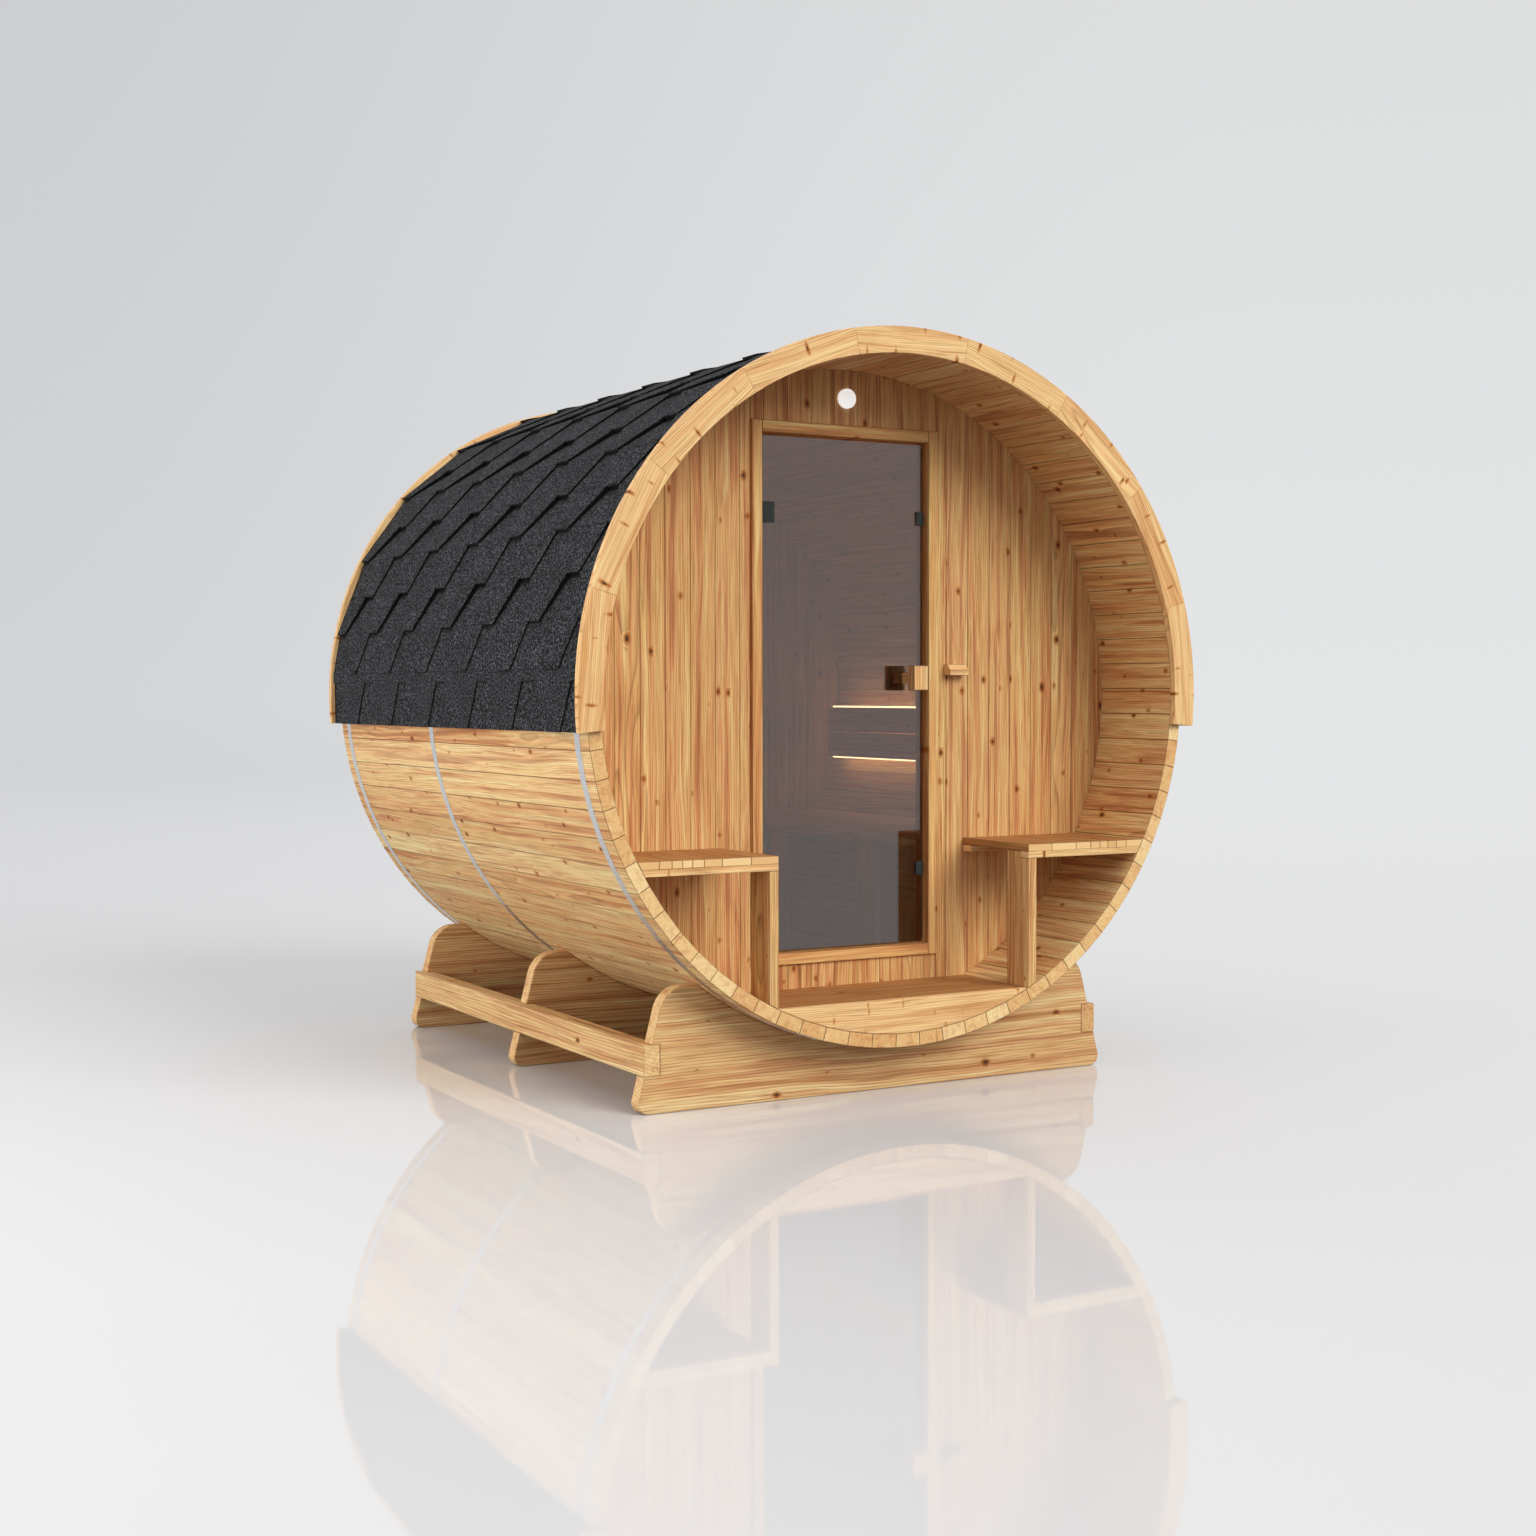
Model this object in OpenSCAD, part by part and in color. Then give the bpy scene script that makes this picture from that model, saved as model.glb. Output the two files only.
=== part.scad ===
// Barrel sauna: a coopered barrel of flat staves on three cradle boards,
// with an open porch, a glass door in a timber frame and a shingled roof.
// Z is up from the ground, Y runs from the porch to the rear, and X is zero
// at the middle of the barrel. All sizes are in millimetres.

/* [Barrel] */
// Outside diameter across the flat faces of the staves
barrel_d = 2000; // [1900:10:2100]
// Length of the staves
barrel_len = 2000; // [1800:10:2400]
// Thickness of a stave
stave_t = 40; // [36:1:44]
// Staves in each seventh of the barrel
staves_per_part = 11; // [9:1:13]
// Depth of the groove in the staves that holds the edge of an end wall
croze_d = 8; // [5:1:12]
// Height of the lowest stave above the ground
barrel_lift = 142; // [120:1:180]

/* [End walls and floor] */
// Depth of the open porch, from the stave ends to the front wall
porch_depth = 335; // [300:5:420]
// Thickness of the boards of both end walls
wall_t = 42; // [36:1:48]
// Distance from the rear stave ends in to the rear wall
rear_inset = 28; // [18:1:60]
// Height of the walking surface above the inside of the lowest stave
floor_rise = 98; // [90:1:110]
// Thickness of the floor boards
floor_t = 28; // [22:1:34]
// Thickness of the board across the front of the porch floor
riser_t = 28; // [22:1:40]

/* [Door frame] */
// Clear width between the jambs
doorway_w = 578; // [540:2:620]
// Clear height between sill and head
doorway_h = 1516; // [1440:2:1540]
// Face width of jambs, head and sill
frame_face = 35; // [30:1:40]
// Depth of the frame, front to back
frame_depth = 72; // [64:1:84]
// How far the frame stands in front of the wall boards
frame_proud = 10; // [6:1:14]
// Height of the underside of the sill above the floor
sill_rise = 73; // [60:1:84]

/* [Glass door] */
// Thickness of the door glass
glass_t = 8; // [6:1:10]
// Distance from the front of the frame back to the glass
glass_recess = 24; // [18:1:28]
// Gap between the edge of the glass and the frame
glass_gap = 6; // [5:0.5:8]
// Radius of the corners of the glass
glass_corner_r = 12; // [4:1:20]
// Height of a hinge
hinge_h = 61; // [50:1:80]
// Distance from the end of the glass to the middle of a hinge
hinge_inset = 222; // [180:2:280]
// Diameter of the hinge knuckles
knuckle_d = 10; // [9:0.5:12]
// Diameter of the hinge pin
hinge_pin_d = 5; // [4:0.5:6]
// Width of a hinge clamp on the glass
clamp_w = 38; // [30:1:46]
// Thickness of one clamp plate
clamp_t = 4; // [3:0.5:4.5]
// Width of a catch plate
catch_w = 26; // [20:1:34]
// Height of a catch plate
catch_h = 41; // [34:1:50]
// Thickness of a catch plate
catch_t = 5; // [4:0.5:8]
// Width of a handle grip
grip_w = 56; // [48:1:70]
// Height of a handle grip
grip_h = 74; // [60:1:90]
// Thickness of a handle grip
grip_t = 33; // [26:1:38]
// Length of the stem between the glass and a grip
stem_len = 47; // [40:1:60]
// Width of the stem
stem_w = 34; // [26:1:40]
// Height of the stem
stem_h = 32; // [26:1:44]
// Distance from the free edge of the glass to a grip
handle_inset = 30; // [20:1:60]
// Height of the middle of the handles above the lower edge of the glass
handle_rise = 800; // [700:5:900]

/* [Seats] */
// Height of every seat above the floor
seat_rise = 424; // [400:2:450]
// Thickness of the seat slats
slat_t = 22; // [18:1:28]
// Height of the battens under the slats
batten_h = 19; // [14:1:26]
// Width of the battens under the slats
batten_w = 40; // [30:1:60]
// Distance from the middle of the barrel to the edge of a porch seat
porch_seat_x = 424; // [410:2:460]
// Thickness of a porch post
post_t = 30; // [24:1:38]
// Width of a porch post, front to back
post_w = 105; // [80:1:130]
// Distance from the middle of the barrel to the edge of a cabin bench
bench_x = 240; // [220:2:280]
// Thickness of a bench leg
leg_t = 30; // [24:1:38]
// Width of a bench leg, front to back
leg_w = 100; // [80:1:120]
// Distance from the front wall to the first bench leg
leg_start = 181; // [120:1:240]
// Height of one backrest board
back_board_h = 90; // [70:1:100]
// Gap between the two backrest boards
back_gap = 4; // [2:1:10]
// Thickness of the backrest boards
back_t = 20; // [16:1:26]
// Distance from the inside of the barrel at its widest to the face of a backrest
back_inset = 110; // [98:2:130]
// Height of the lower edge of a backrest above the seat
back_rise = 206; // [180:2:240]
// Distance from the end walls to the ends of a backrest
back_margin = 100; // [60:5:160]
// Width of a light strip behind a backrest
strip_w = 12; // [8:1:16]

/* [Cradle] */
// Thickness of a cradle board
cradle_t = 48; // [42:1:54]
// Distance from the front stave ends to the front cradle
cradle_front = 130; // [110:1:200]
// Distance from the rear stave ends to the rear cradle
cradle_rear = 94; // [92:1:200]
// Distance of the middle cradle behind the middle of the barrel
cradle_mid = 19; // [-60:1:60]
// Distance from the side of the barrel in to the widest part of a cradle, above its feet
cradle_inset = 210; // [180:1:225]
// Radius of the rounded feet
cradle_foot_r = 30; // [20:1:40]
// Radius of the rounded shoulders
cradle_shoulder_r = 85; // [60:1:100]
// Distance from the side of the barrel in to the shoulders of a cradle
cradle_shoulder_inset = 272; // [255:1:285]
// Height of the tips of a cradle above the ground
cradle_top_z = 347; // [335:1:365]
// Height of a rail
rail_h = 88; // [70:1:100]
// Thickness of a rail
rail_t = 50; // [40:1:60]
// Height of the underside of a rail above the ground
rail_z = 104; // [90:1:120]
// Distance from the side of the barrel in to the outer face of a rail
rail_inset = 226; // [216:1:238]

/* [Bands and roof] */
// Width of a steel band
band_w = 32; // [25:1:40]
// Thickness of a steel band
band_t = 1.5; // [1:0.5:3]
// Distance from the stave ends to the middle of the outer bands
band_inset = 72; // [50:1:74]
// Distance of the middle band behind the middle of the barrel
band_mid = 146; // [80:2:220]
// Thickness of the roof at the lower edge of a raised row of shingles
roof_t = 31; // [28:0.5:32]
// Thickness of the roof at the upper end of a flat facet, two rows high
facet_end_t = 19.5; // [17:0.5:22]
// Least thickness of the roof, at the top of the cuts in a raised row
deck_t = 4; // [3:0.5:6]
// Step from a row up to the raised row over it
raised_step = 6; // [4:0.5:8]
// Thickness of a shingle tab
tab_t = 3.5; // [2.5:0.5:5]
// Distance from one shingle tab to the next in a row
tab_pitch = 328; // [300:2:340]
// Width of the lower edge of a shingle tab
tab_foot = 85; // [70:1:110]
// Exposed height of a row of tabs
course_h = 134.5; // [126:0.5:140]
// Exposed height of the lowest row
starter_h = 168; // [150:1:180]
// Height of the cuts in the lowest row
starter_cut_h = 137; // [120:1:145]
// Angle that the roof reaches below the middle of the barrel
roof_below = 5.3; // [2:0.1:6]
// Width of a fascia board, in and out from the barrel
fascia_w = 74; // [70:1:80]
// Thickness of a fascia board
fascia_t = 22; // [18:1:28]
// Number of boards in a fascia arch
fascia_boards = 9; // [7:2:11]

/* [Small fittings] */
// Diameter of the porch lamp
lamp_d = 58; // [50:1:80]
// Depth of the porch lamp
lamp_t = 24; // [18:1:34]
// Height of the porch lamp above the door frame
lamp_rise = 79; // [60:1:100]
// Width of the wall peg
peg_w = 70; // [50:1:90]
// Height of the wall peg
peg_h = 34; // [26:1:44]
// Depth of the wall peg
peg_t = 32; // [24:1:44]
// Distance from the door frame to the wall peg
peg_gap = 28; // [20:1:60]
// Height of the wall peg above the middle of the barrel
peg_rise = 77; // [40:1:120]

/* [Hidden] */
$fn = 96;
// Clearance between pieces that are fitted together
fit = 0.3;
// Overrun of a cutting solid past the face that it cuts
over = 1;

shell_parts = 7;
part_a = 360 / shell_parts;
stave_count = shell_parts * staves_per_part;
stave_a = 360 / stave_count;
out_r = barrel_d / 2;
in_r = out_r - stave_t;
wall_r = in_r + croze_d - fit;
axis_z = barrel_lift + out_r;
front_y = -barrel_len / 2;
rear_y = barrel_len / 2;
wall_y = front_y + porch_depth;
wall_back_y = wall_y + wall_t;
rear_wall_y = rear_y - rear_inset - wall_t;

floor_z = axis_z - in_r + floor_rise;
seat_z = floor_z + seat_rise;

sill_z = floor_z + sill_rise;
door_z = sill_z + frame_face;
head_z = door_z + doorway_h;
frame_x = doorway_w / 2 + frame_face;
frame_y = wall_y - frame_proud;
glass_y = frame_y + glass_recess;
glass_w = doorway_w - 2 * glass_gap;
glass_h = doorway_h - 2 * glass_gap;
glass_z = door_z + glass_gap;
glass_edge_x = glass_w / 2;
leaf_t = 1.5;
leaf_inset = 2;
hinge_gap = 1;
pivot_x = -doorway_w / 2 + leaf_t + hinge_gap / 2 + knuckle_d / 2;
pivot_y = glass_y - knuckle_d / 2 - hinge_gap;
hinge_zs = [glass_z + hinge_inset, glass_z + glass_h - hinge_inset];
handle_x = glass_edge_x - handle_inset - grip_w / 2;
handle_z = glass_z + handle_rise;

cradle_wide_x = out_r - cradle_inset;
cradle_shoulder_x = out_r - cradle_shoulder_inset;
rail_face_x = out_r - rail_inset;
rail_x = rail_face_x - rail_t / 2;
cradle_ys = [front_y + cradle_front,
             cradle_mid - cradle_t / 2,
             rear_y - cradle_rear - cradle_t];
leg_pitch = (rear_wall_y - wall_back_y - 2 * leg_start - leg_w) / 2;
leg_ys = [for (i = [0:2]) wall_back_y + leg_start + i * leg_pitch];
back_x = in_r - back_inset;
back_y = wall_back_y + back_margin;
back_len = rear_wall_y - wall_back_y - 2 * back_margin;
back_z = seat_z + back_rise;
back_h = 2 * back_board_h + back_gap;
band_ys = [front_y + band_inset, band_mid, rear_y - band_inset];
band_r = out_r + band_t;
roof_r = band_r + fit;
roof_top_r = out_r + roof_t;
course_a = course_h / roof_top_r * 180 / PI;
starter_a = starter_h / roof_top_r * 180 / PI;
course_count = floor((90 + roof_below - starter_a) / course_a);
lap_step = 0.5;
lap_run = 2;
lap_a = lap_run / roof_top_r * 180 / PI;
facet_end_r = out_r + facet_end_t;
facet_mid_r = 2 * roof_top_r * facet_end_r * cos(course_a) / (roof_top_r + facet_end_r);
fascia_r = out_r - stave_t + fascia_w;
fascia_a = (180 + 2 * roof_below) / fascia_boards;

PINE = "burlywood";
PINE_DARK = "peru";
ASPHALT = "dimgray";
STEEL = "silver";
DARK_METAL = "darkslategray";

// Radius of the corners of a regular outline whose flat faces are at radius r
function corner_r(r) = r / cos(stave_a / 2);

function on_ring(r, a) = [r * cos(a), r * sin(a)];

// Corners of the stave outline, counted from an angle at which two staves meet
function ring_points(r, from_a, count) =
    [for (i = [0:count]) on_ring(corner_r(r), from_a + i * stave_a)];

function backwards(v) = [for (i = [len(v) - 1:-1:0]) v[i]];

// Full stave outline as a flat shape
module stave_outline(r) {
    polygon(ring_points(r, 90, stave_count - 1));
}

// Stave outline standing in the XZ plane, from y to y + t
module disc(r, y, t) {
    translate([0, y + t, axis_z])
        rotate([90, 0, 0])
            linear_extrude(t)
                stave_outline(r);
}

// Part of the ring of staves, standing in the XZ plane
module stave_ring(r_out, r_in, from_a, count, y, t) {
    translate([0, y + t, axis_z])
        rotate([90, 0, 0])
            linear_extrude(t)
                polygon(concat(ring_points(r_out, from_a, count),
                               backwards(ring_points(r_in, from_a, count))));
}

// Block between two corners
module block(x0, x1, y0, y1, z0, z1) {
    translate([x0, y0, z0])
        cube([x1 - x0, y1 - y0, z1 - z0]);
}

// Block that ends against the inside of the barrel
module block_in_barrel(x0, x1, y0, y1, z0, z1) {
    intersection() {
        block(x0, x1, y0, y1, z0, z1);
        disc(in_r - fit, y0, y1 - y0);
    }
}

// Turns a left-hand shape into the one for the given side, -1 left and 1 right
module mirrored(side) {
    mirror([side < 0 ? 0 : 1, 0, 0])
        children();
}

// One seventh of the barrel, counted to the left from the top, with a groove for each end wall
module shell_part(index) {
    from_a = 90 + part_a * index;
    color(PINE)
        difference() {
            stave_ring(out_r, in_r, from_a, staves_per_part, front_y, barrel_len);
            for (y = [wall_y, rear_wall_y])
                stave_ring(in_r + croze_d, in_r - over, from_a - stave_a,
                           staves_per_part + 2, y - fit, wall_t + 2 * fit);
        }
}

module front_wall_side(side) {
    color(PINE)
        mirrored(side)
            intersection() {
                disc(wall_r, wall_y, wall_t);
                block(-out_r, -frame_x, wall_y, wall_back_y, 0, 2 * axis_z);
            }
}

module front_wall_over_door() {
    color(PINE)
        intersection() {
            disc(wall_r, wall_y, wall_t);
            block(-frame_x, frame_x, wall_y, wall_back_y, head_z + frame_face, 2 * axis_z);
        }
}

module front_wall_under_door() {
    color(PINE)
        intersection() {
            disc(wall_r, wall_y, wall_t);
            block(-frame_x, frame_x, wall_y, wall_back_y, 0, sill_z);
        }
}

module rear_wall() {
    color(PINE)
        disc(wall_r, rear_wall_y, wall_t);
}

module porch_floor() {
    color(PINE)
        block_in_barrel(-out_r, out_r, front_y + riser_t + fit, wall_y - fit,
                        floor_z - floor_t, floor_z);
}

module porch_floor_riser() {
    color(PINE)
        block_in_barrel(-out_r, out_r, front_y, front_y + riser_t, 0, floor_z);
}

module cabin_floor() {
    color(PINE)
        block_in_barrel(-out_r, out_r, wall_back_y + fit, rear_wall_y - fit,
                        floor_z - floor_t, floor_z);
}

module door_jamb(side) {
    color(PINE_DARK)
        mirrored(side)
            block(-frame_x, -doorway_w / 2, frame_y, frame_y + frame_depth,
                  sill_z, head_z + frame_face);
}

module door_rail_piece(z) {
    color(PINE_DARK)
        block(-doorway_w / 2, doorway_w / 2, frame_y, frame_y + frame_depth,
              z, z + frame_face);
}

module door_head() {
    door_rail_piece(head_z);
}

module door_sill() {
    door_rail_piece(sill_z);
}

module door_glass() {
    r = glass_corner_r;
    color("slategray", 0.4)
        translate([0, glass_y + glass_t, glass_z])
            rotate([90, 0, 0])
                linear_extrude(glass_t)
                    union() {
                        translate([-glass_edge_x + r, 0])
                            square([glass_w - 2 * r, glass_h]);
                        translate([-glass_edge_x, r])
                            square([glass_w, glass_h - 2 * r]);
                        for (x = [-1, 1])
                            for (z = [r, glass_h - r])
                                translate([x * (glass_edge_x - r), z])
                                    circle(r);
                    }
}

// Grip and stem on one face of the glass; dir is -1 outside and 1 inside
module handle(dir) {
    bevel = 3;
    face_y = dir < 0 ? glass_y : glass_y + glass_t;
    stem_y = dir < 0 ? face_y - stem_len : face_y;
    grip_y = dir < 0 ? stem_y - grip_t : face_y + stem_len;
    block(handle_x - stem_w / 2, handle_x + stem_w / 2, stem_y, stem_y + stem_len,
          handle_z - stem_h / 2, handle_z + stem_h / 2);
    translate([handle_x, grip_y + grip_t / 2, handle_z - grip_h / 2])
        linear_extrude(grip_h)
            polygon([for (c = [[-1, -1], [1, -1], [1, 1], [-1, 1]])
                     for (k = c[0] * c[1] > 0 ? [0, 1] : [1, 0])
                     [c[0] * (grip_w / 2 - bevel * k),
                      c[1] * (grip_t / 2 - bevel * (1 - k))]]);
}

module door_handles() {
    color(PINE)
        for (dir = [-1, 1])
            handle(dir);
}

module upright(d, z0, z1) {
    translate([pivot_x, pivot_y, z0])
        cylinder(h = z1 - z0, d = d);
}

// Middle knuckle and clamp plates that ride with the glass
module hinge_clamp(z) {
    clamp_x0 = pivot_x + knuckle_d / 2 + hinge_gap;
    clamp_x1 = clamp_x0 + clamp_w;
    z0 = z - hinge_h / 2;
    z1 = z + hinge_h / 2;
    knuckle_z0 = z - hinge_h / 4 + hinge_gap;
    knuckle_z1 = z + hinge_h / 4 - hinge_gap;
    difference() {
        union() {
            upright(knuckle_d, knuckle_z0, knuckle_z1);
            block(pivot_x, clamp_x0 + over, glass_y - clamp_t, glass_y - clamp_t / 4,
                  knuckle_z0, knuckle_z1);
            block(clamp_x0, clamp_x1, glass_y - clamp_t, glass_y, z0, z1);
        }
        upright(hinge_pin_d + 2 * fit, z0, z1);
    }
    block(clamp_x0, clamp_x1, glass_y + glass_t, glass_y + glass_t + clamp_t, z0, z1);
}

module hinge_clamps() {
    color(DARK_METAL)
        for (z = hinge_zs)
            hinge_clamp(z);
}

// Leaf on the jamb with the outer knuckles and the pin
module hinge_bracket(z) {
    z0 = z - hinge_h / 2;
    z1 = z + hinge_h / 2;
    for (ends = [[z0, z - hinge_h / 4], [z + hinge_h / 4, z1]]) {
        upright(knuckle_d, ends[0], ends[1]);
        block(-doorway_w / 2 + leaf_t / 2, pivot_x, pivot_y - knuckle_d / 4,
              pivot_y + knuckle_d / 4, ends[0], ends[1]);
    }
    upright(hinge_pin_d, z0, z1);
    block(-doorway_w / 2, -doorway_w / 2 + leaf_t, frame_y + leaf_inset, glass_y, z0, z1);
}

module hinge_brackets() {
    color(DARK_METAL)
        for (z = hinge_zs)
            hinge_bracket(z);
}

module door_catches() {
    bevel = 6;
    color(DARK_METAL)
        for (z = hinge_zs)
            translate([glass_edge_x - catch_w, glass_y, z - catch_h / 2])
                rotate([90, 0, 0])
                    linear_extrude(catch_t)
                        polygon([[0, 0], [catch_w, 0], [catch_w, catch_h - bevel],
                                 [catch_w - bevel, catch_h], [0, catch_h]]);
}

// Slats from the stave wall to the free edge, with a batten at each end
module porch_seat(side) {
    under_z = seat_z - slat_t;
    back = wall_y - fit;
    color(PINE)
        mirrored(side)
            union() {
                block_in_barrel(-out_r, -porch_seat_x, front_y, back, under_z, seat_z);
                block_in_barrel(-out_r, -porch_seat_x, front_y, front_y + batten_w,
                                under_z - batten_h, under_z + over);
                block_in_barrel(-out_r, -porch_seat_x, back - batten_w, back,
                                under_z - batten_h, under_z + over);
            }
}

module porch_posts() {
    color(PINE)
        for (side = [-1, 1])
            mirrored(side)
                difference() {
                    block_in_barrel(-porch_seat_x - post_t, -porch_seat_x, front_y,
                                    front_y + post_w, 0, seat_z - slat_t - fit);
                    block(-porch_seat_x - post_t - over, -porch_seat_x + over,
                          front_y - over, front_y + batten_w + fit,
                          seat_z - slat_t - batten_h - fit, seat_z);
                    block(-porch_seat_x - post_t - over, -porch_seat_x + over, front_y - over,
                          front_y + post_w + over, floor_z - floor_t - over, floor_z + fit);
                }
}

// Bench slats on a bearer over each leg, cut out round the door frame
module bench(side) {
    under_z = seat_z - slat_t;
    frame_back_y = frame_y + frame_depth;
    color(PINE)
        mirrored(side)
            union() {
                difference() {
                    block_in_barrel(-out_r, -bench_x, wall_back_y + fit, rear_wall_y - fit,
                                    under_z, seat_z);
                    block(-frame_x - fit, 0, frame_y, frame_back_y + fit,
                          under_z - over, seat_z + over);
                }
                for (y = leg_ys)
                    block_in_barrel(-out_r, -bench_x, y, y + leg_w,
                                    under_z - batten_h, under_z + over);
            }
}

module bench_legs() {
    color(PINE)
        for (side = [-1, 1])
            mirrored(side)
                for (y = leg_ys)
                    block(-bench_x - leg_t, -bench_x, y, y + leg_w,
                          floor_z, seat_z - slat_t - batten_h);
}

// Two boards on three cleats that reach back to the staves
module backrest(side) {
    cleat_w = 40;
    cleat_z0 = back_z + 2 * strip_w;
    cleat_z1 = back_z + back_h - 2 * strip_w;
    color(PINE)
        mirrored(side)
            union() {
                for (i = [0, 1])
                    block(-back_x - back_t, -back_x, back_y, back_y + back_len,
                          back_z + i * (back_board_h + back_gap),
                          back_z + i * (back_board_h + back_gap) + back_board_h);
                for (y = leg_ys)
                    block_in_barrel(-out_r, -back_x - back_t + over, y, y + cleat_w,
                                    cleat_z0, cleat_z1);
            }
}

module light_strips() {
    edge = 4;
    color("white")
        for (side = [-1, 1])
            mirrored(side)
                for (z = [back_z + edge, back_z + back_h - edge - strip_w])
                    block(-back_x - back_t - strip_w, -back_x - back_t, back_y,
                          back_y + back_len, z, z + strip_w);
}

// Point of the roof's cross-section on the left, angle from the horizontal
function roof_pt(r, a) = [-r * cos(a), r * sin(a)];

// Angle of the lower edge of a row, with the lowest row as -1
function course_from(c) = c < 0 ? -roof_below : starter_a - roof_below + c * course_a;

// Rows 1, 3, 5 and so on stand out at their lower edge and start a flat facet
function is_raised(c) = c > 0 && c % 2 == 1;

// Outer radius of a row's tabs at their lower and their upper end
function low_r(c) = c < 0 ? roof_top_r - tab_t
                  : c == 0 || is_raised(c) ? roof_top_r
                  : facet_mid_r + tab_t;
function high_r(c) = c < 0 ? roof_top_r - tab_t
                   : is_raised(c) ? facet_mid_r
                   : roof_top_r - raised_step;

// Radius of the surface in a row's cuts, which is the upper half of the row below
function cut_low_r(c) = c < 0 ? low_r(c) - tab_t : high_r(c - 1) - lap_step;
function cut_high_r(c) = c < 1 ? high_r(c) - tab_t
                       : is_raised(c) ? out_r + deck_t
                       : facet_end_r;

// Cross-section under the tabs, from the staves out, with a flat cap at the ridge
module roof_base() {
    ridge_a = course_from(course_count);
    difference() {
        polygon(concat([[0, 0]],
                       [for (c = [-1:course_count - 1])
                        each [roof_pt(cut_low_r(c), course_from(c) + (c < 0 ? 0 : lap_a)),
                              roof_pt(cut_high_r(c), course_from(c + 1) + lap_a)]],
                       [roof_pt(roof_top_r, ridge_a + lap_a),
                        [0, roof_top_r * sin(ridge_a + lap_a)]]));
        stave_outline(roof_r);
    }
}

// Cross-section of one row of tabs, which runs on under the row above it
module course_section(c) {
    from_a = course_from(c);
    to_a = course_from(c + 1);
    polygon([roof_pt(low_r(c), from_a), roof_pt(high_r(c), to_a),
             roof_pt(high_r(c) - lap_step - 2 * over, to_a + 2 * lap_a),
             roof_pt(cut_high_r(c) - over, to_a + 2 * lap_a),
             roof_pt(cut_low_r(c) - over, from_a)]);
}

// Cuts between the tabs of a row, widest at the lower edge, half a tab on in each raised row
module course_cuts(c) {
    cut_h = c < 0 ? starter_cut_h : course_h;
    foot_gap = (tab_pitch - tab_foot) / 2;
    slant = (foot_gap - tab_foot / 2) / cut_h;
    first_y = front_y + (is_raised(c) ? tab_pitch / 2 : 0);
    translate([0, 0, axis_z])
        rotate([0, course_from(c) - 90, 0])
            for (y = [first_y : tab_pitch : rear_y + tab_pitch / 2])
                translate([0, y, in_r])
                    linear_extrude(2 * stave_t)
                        polygon([[-over, -foot_gap - over * slant],
                                 [cut_h, -tab_foot / 2],
                                 [cut_h, tab_foot / 2],
                                 [-over, foot_gap + over * slant]]);
}

module roof_extrude() {
    translate([0, rear_y, axis_z])
        rotate([90, 0, 0])
            linear_extrude(barrel_len)
                children();
}

// Shingled roof from the ridge down one side
module roof_half(side) {
    color(ASPHALT)
        mirrored(side)
            union() {
                roof_extrude()
                    roof_base();
                for (c = [-1:course_count - 1])
                    difference() {
                        roof_extrude()
                            course_section(c);
                        course_cuts(c);
                    }
            }
}

// Arch of boards over the stave ends, from y to y + fascia_t
module fascia(y) {
    joint = 0.6;
    color(PINE)
        for (i = [0:fascia_boards - 1])
            translate([0, y + fascia_t, axis_z])
                rotate([90, 0, 0])
                    linear_extrude(fascia_t)
                        fascia_board(-roof_below + i * fascia_a, joint);
}

module fascia_board(from_a, joint) {
    to_a = from_a + fascia_a;
    gap_a = atan(joint / 2 / in_r);
    intersection() {
        difference() {
            circle(r = fascia_r, $fn = 360);
            circle(r = in_r, $fn = 360);
        }
        polygon([[0, 0], 2 * on_ring(out_r, from_a + gap_a),
                 2 * on_ring(out_r, to_a - gap_a)]);
    }
}

module steel_bands() {
    color(STEEL)
        for (y = band_ys)
            difference() {
                disc(band_r, y - band_w / 2, band_w);
                disc(out_r + fit / 3, y - band_w / 2 - over, band_w + 2 * over);
            }
}

// Outline of a cradle board, hollowed to fit the barrel, with notches for the rails
module cradle_outline() {
    difference() {
        hull()
            for (side = [-1, 1]) {
                translate([side * (cradle_wide_x - cradle_foot_r), cradle_foot_r])
                    circle(cradle_foot_r, $fn = 32);
                translate([side * (cradle_shoulder_x - cradle_shoulder_r),
                           cradle_top_z - cradle_shoulder_r])
                    circle(cradle_shoulder_r, $fn = 64);
            }
        translate([0, axis_z])
            stave_outline(out_r + fit);
        for (side = [-1, 1])
            translate([side * rail_x - rail_t / 2, rail_z])
                square([rail_t, rail_h]);
    }
}

module cradle(index) {
    color(PINE)
        translate([0, cradle_ys[index] + cradle_t, 0])
            rotate([90, 0, 0])
                linear_extrude(cradle_t)
                    cradle_outline();
}

module cradle_rails() {
    color(PINE)
        for (side = [-1, 1])
            mirrored(side)
                block(-rail_face_x, -rail_face_x + rail_t - fit, cradle_ys[0],
                      cradle_ys[2] + cradle_t, rail_z + fit, rail_z + rail_h - fit);
}

// Round rim on the wall with a domed cover
module porch_lamp() {
    rim_t = lamp_t / 2;
    rim_w = 5;
    dome_h = lamp_t - rim_t;
    dome_d = lamp_d - 2 * rim_w;
    dome_r = (dome_d * dome_d / 4 + dome_h * dome_h) / 2 / dome_h;
    color("white")
        translate([0, wall_y, head_z + frame_face + lamp_rise])
            rotate([90, 0, 0])
                union() {
                    cylinder(h = rim_t, d = lamp_d);
                    intersection() {
                        cylinder(h = lamp_t + over, d = dome_d);
                        translate([0, 0, lamp_t - dome_r])
                            sphere(dome_r);
                    }
                }
}

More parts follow.
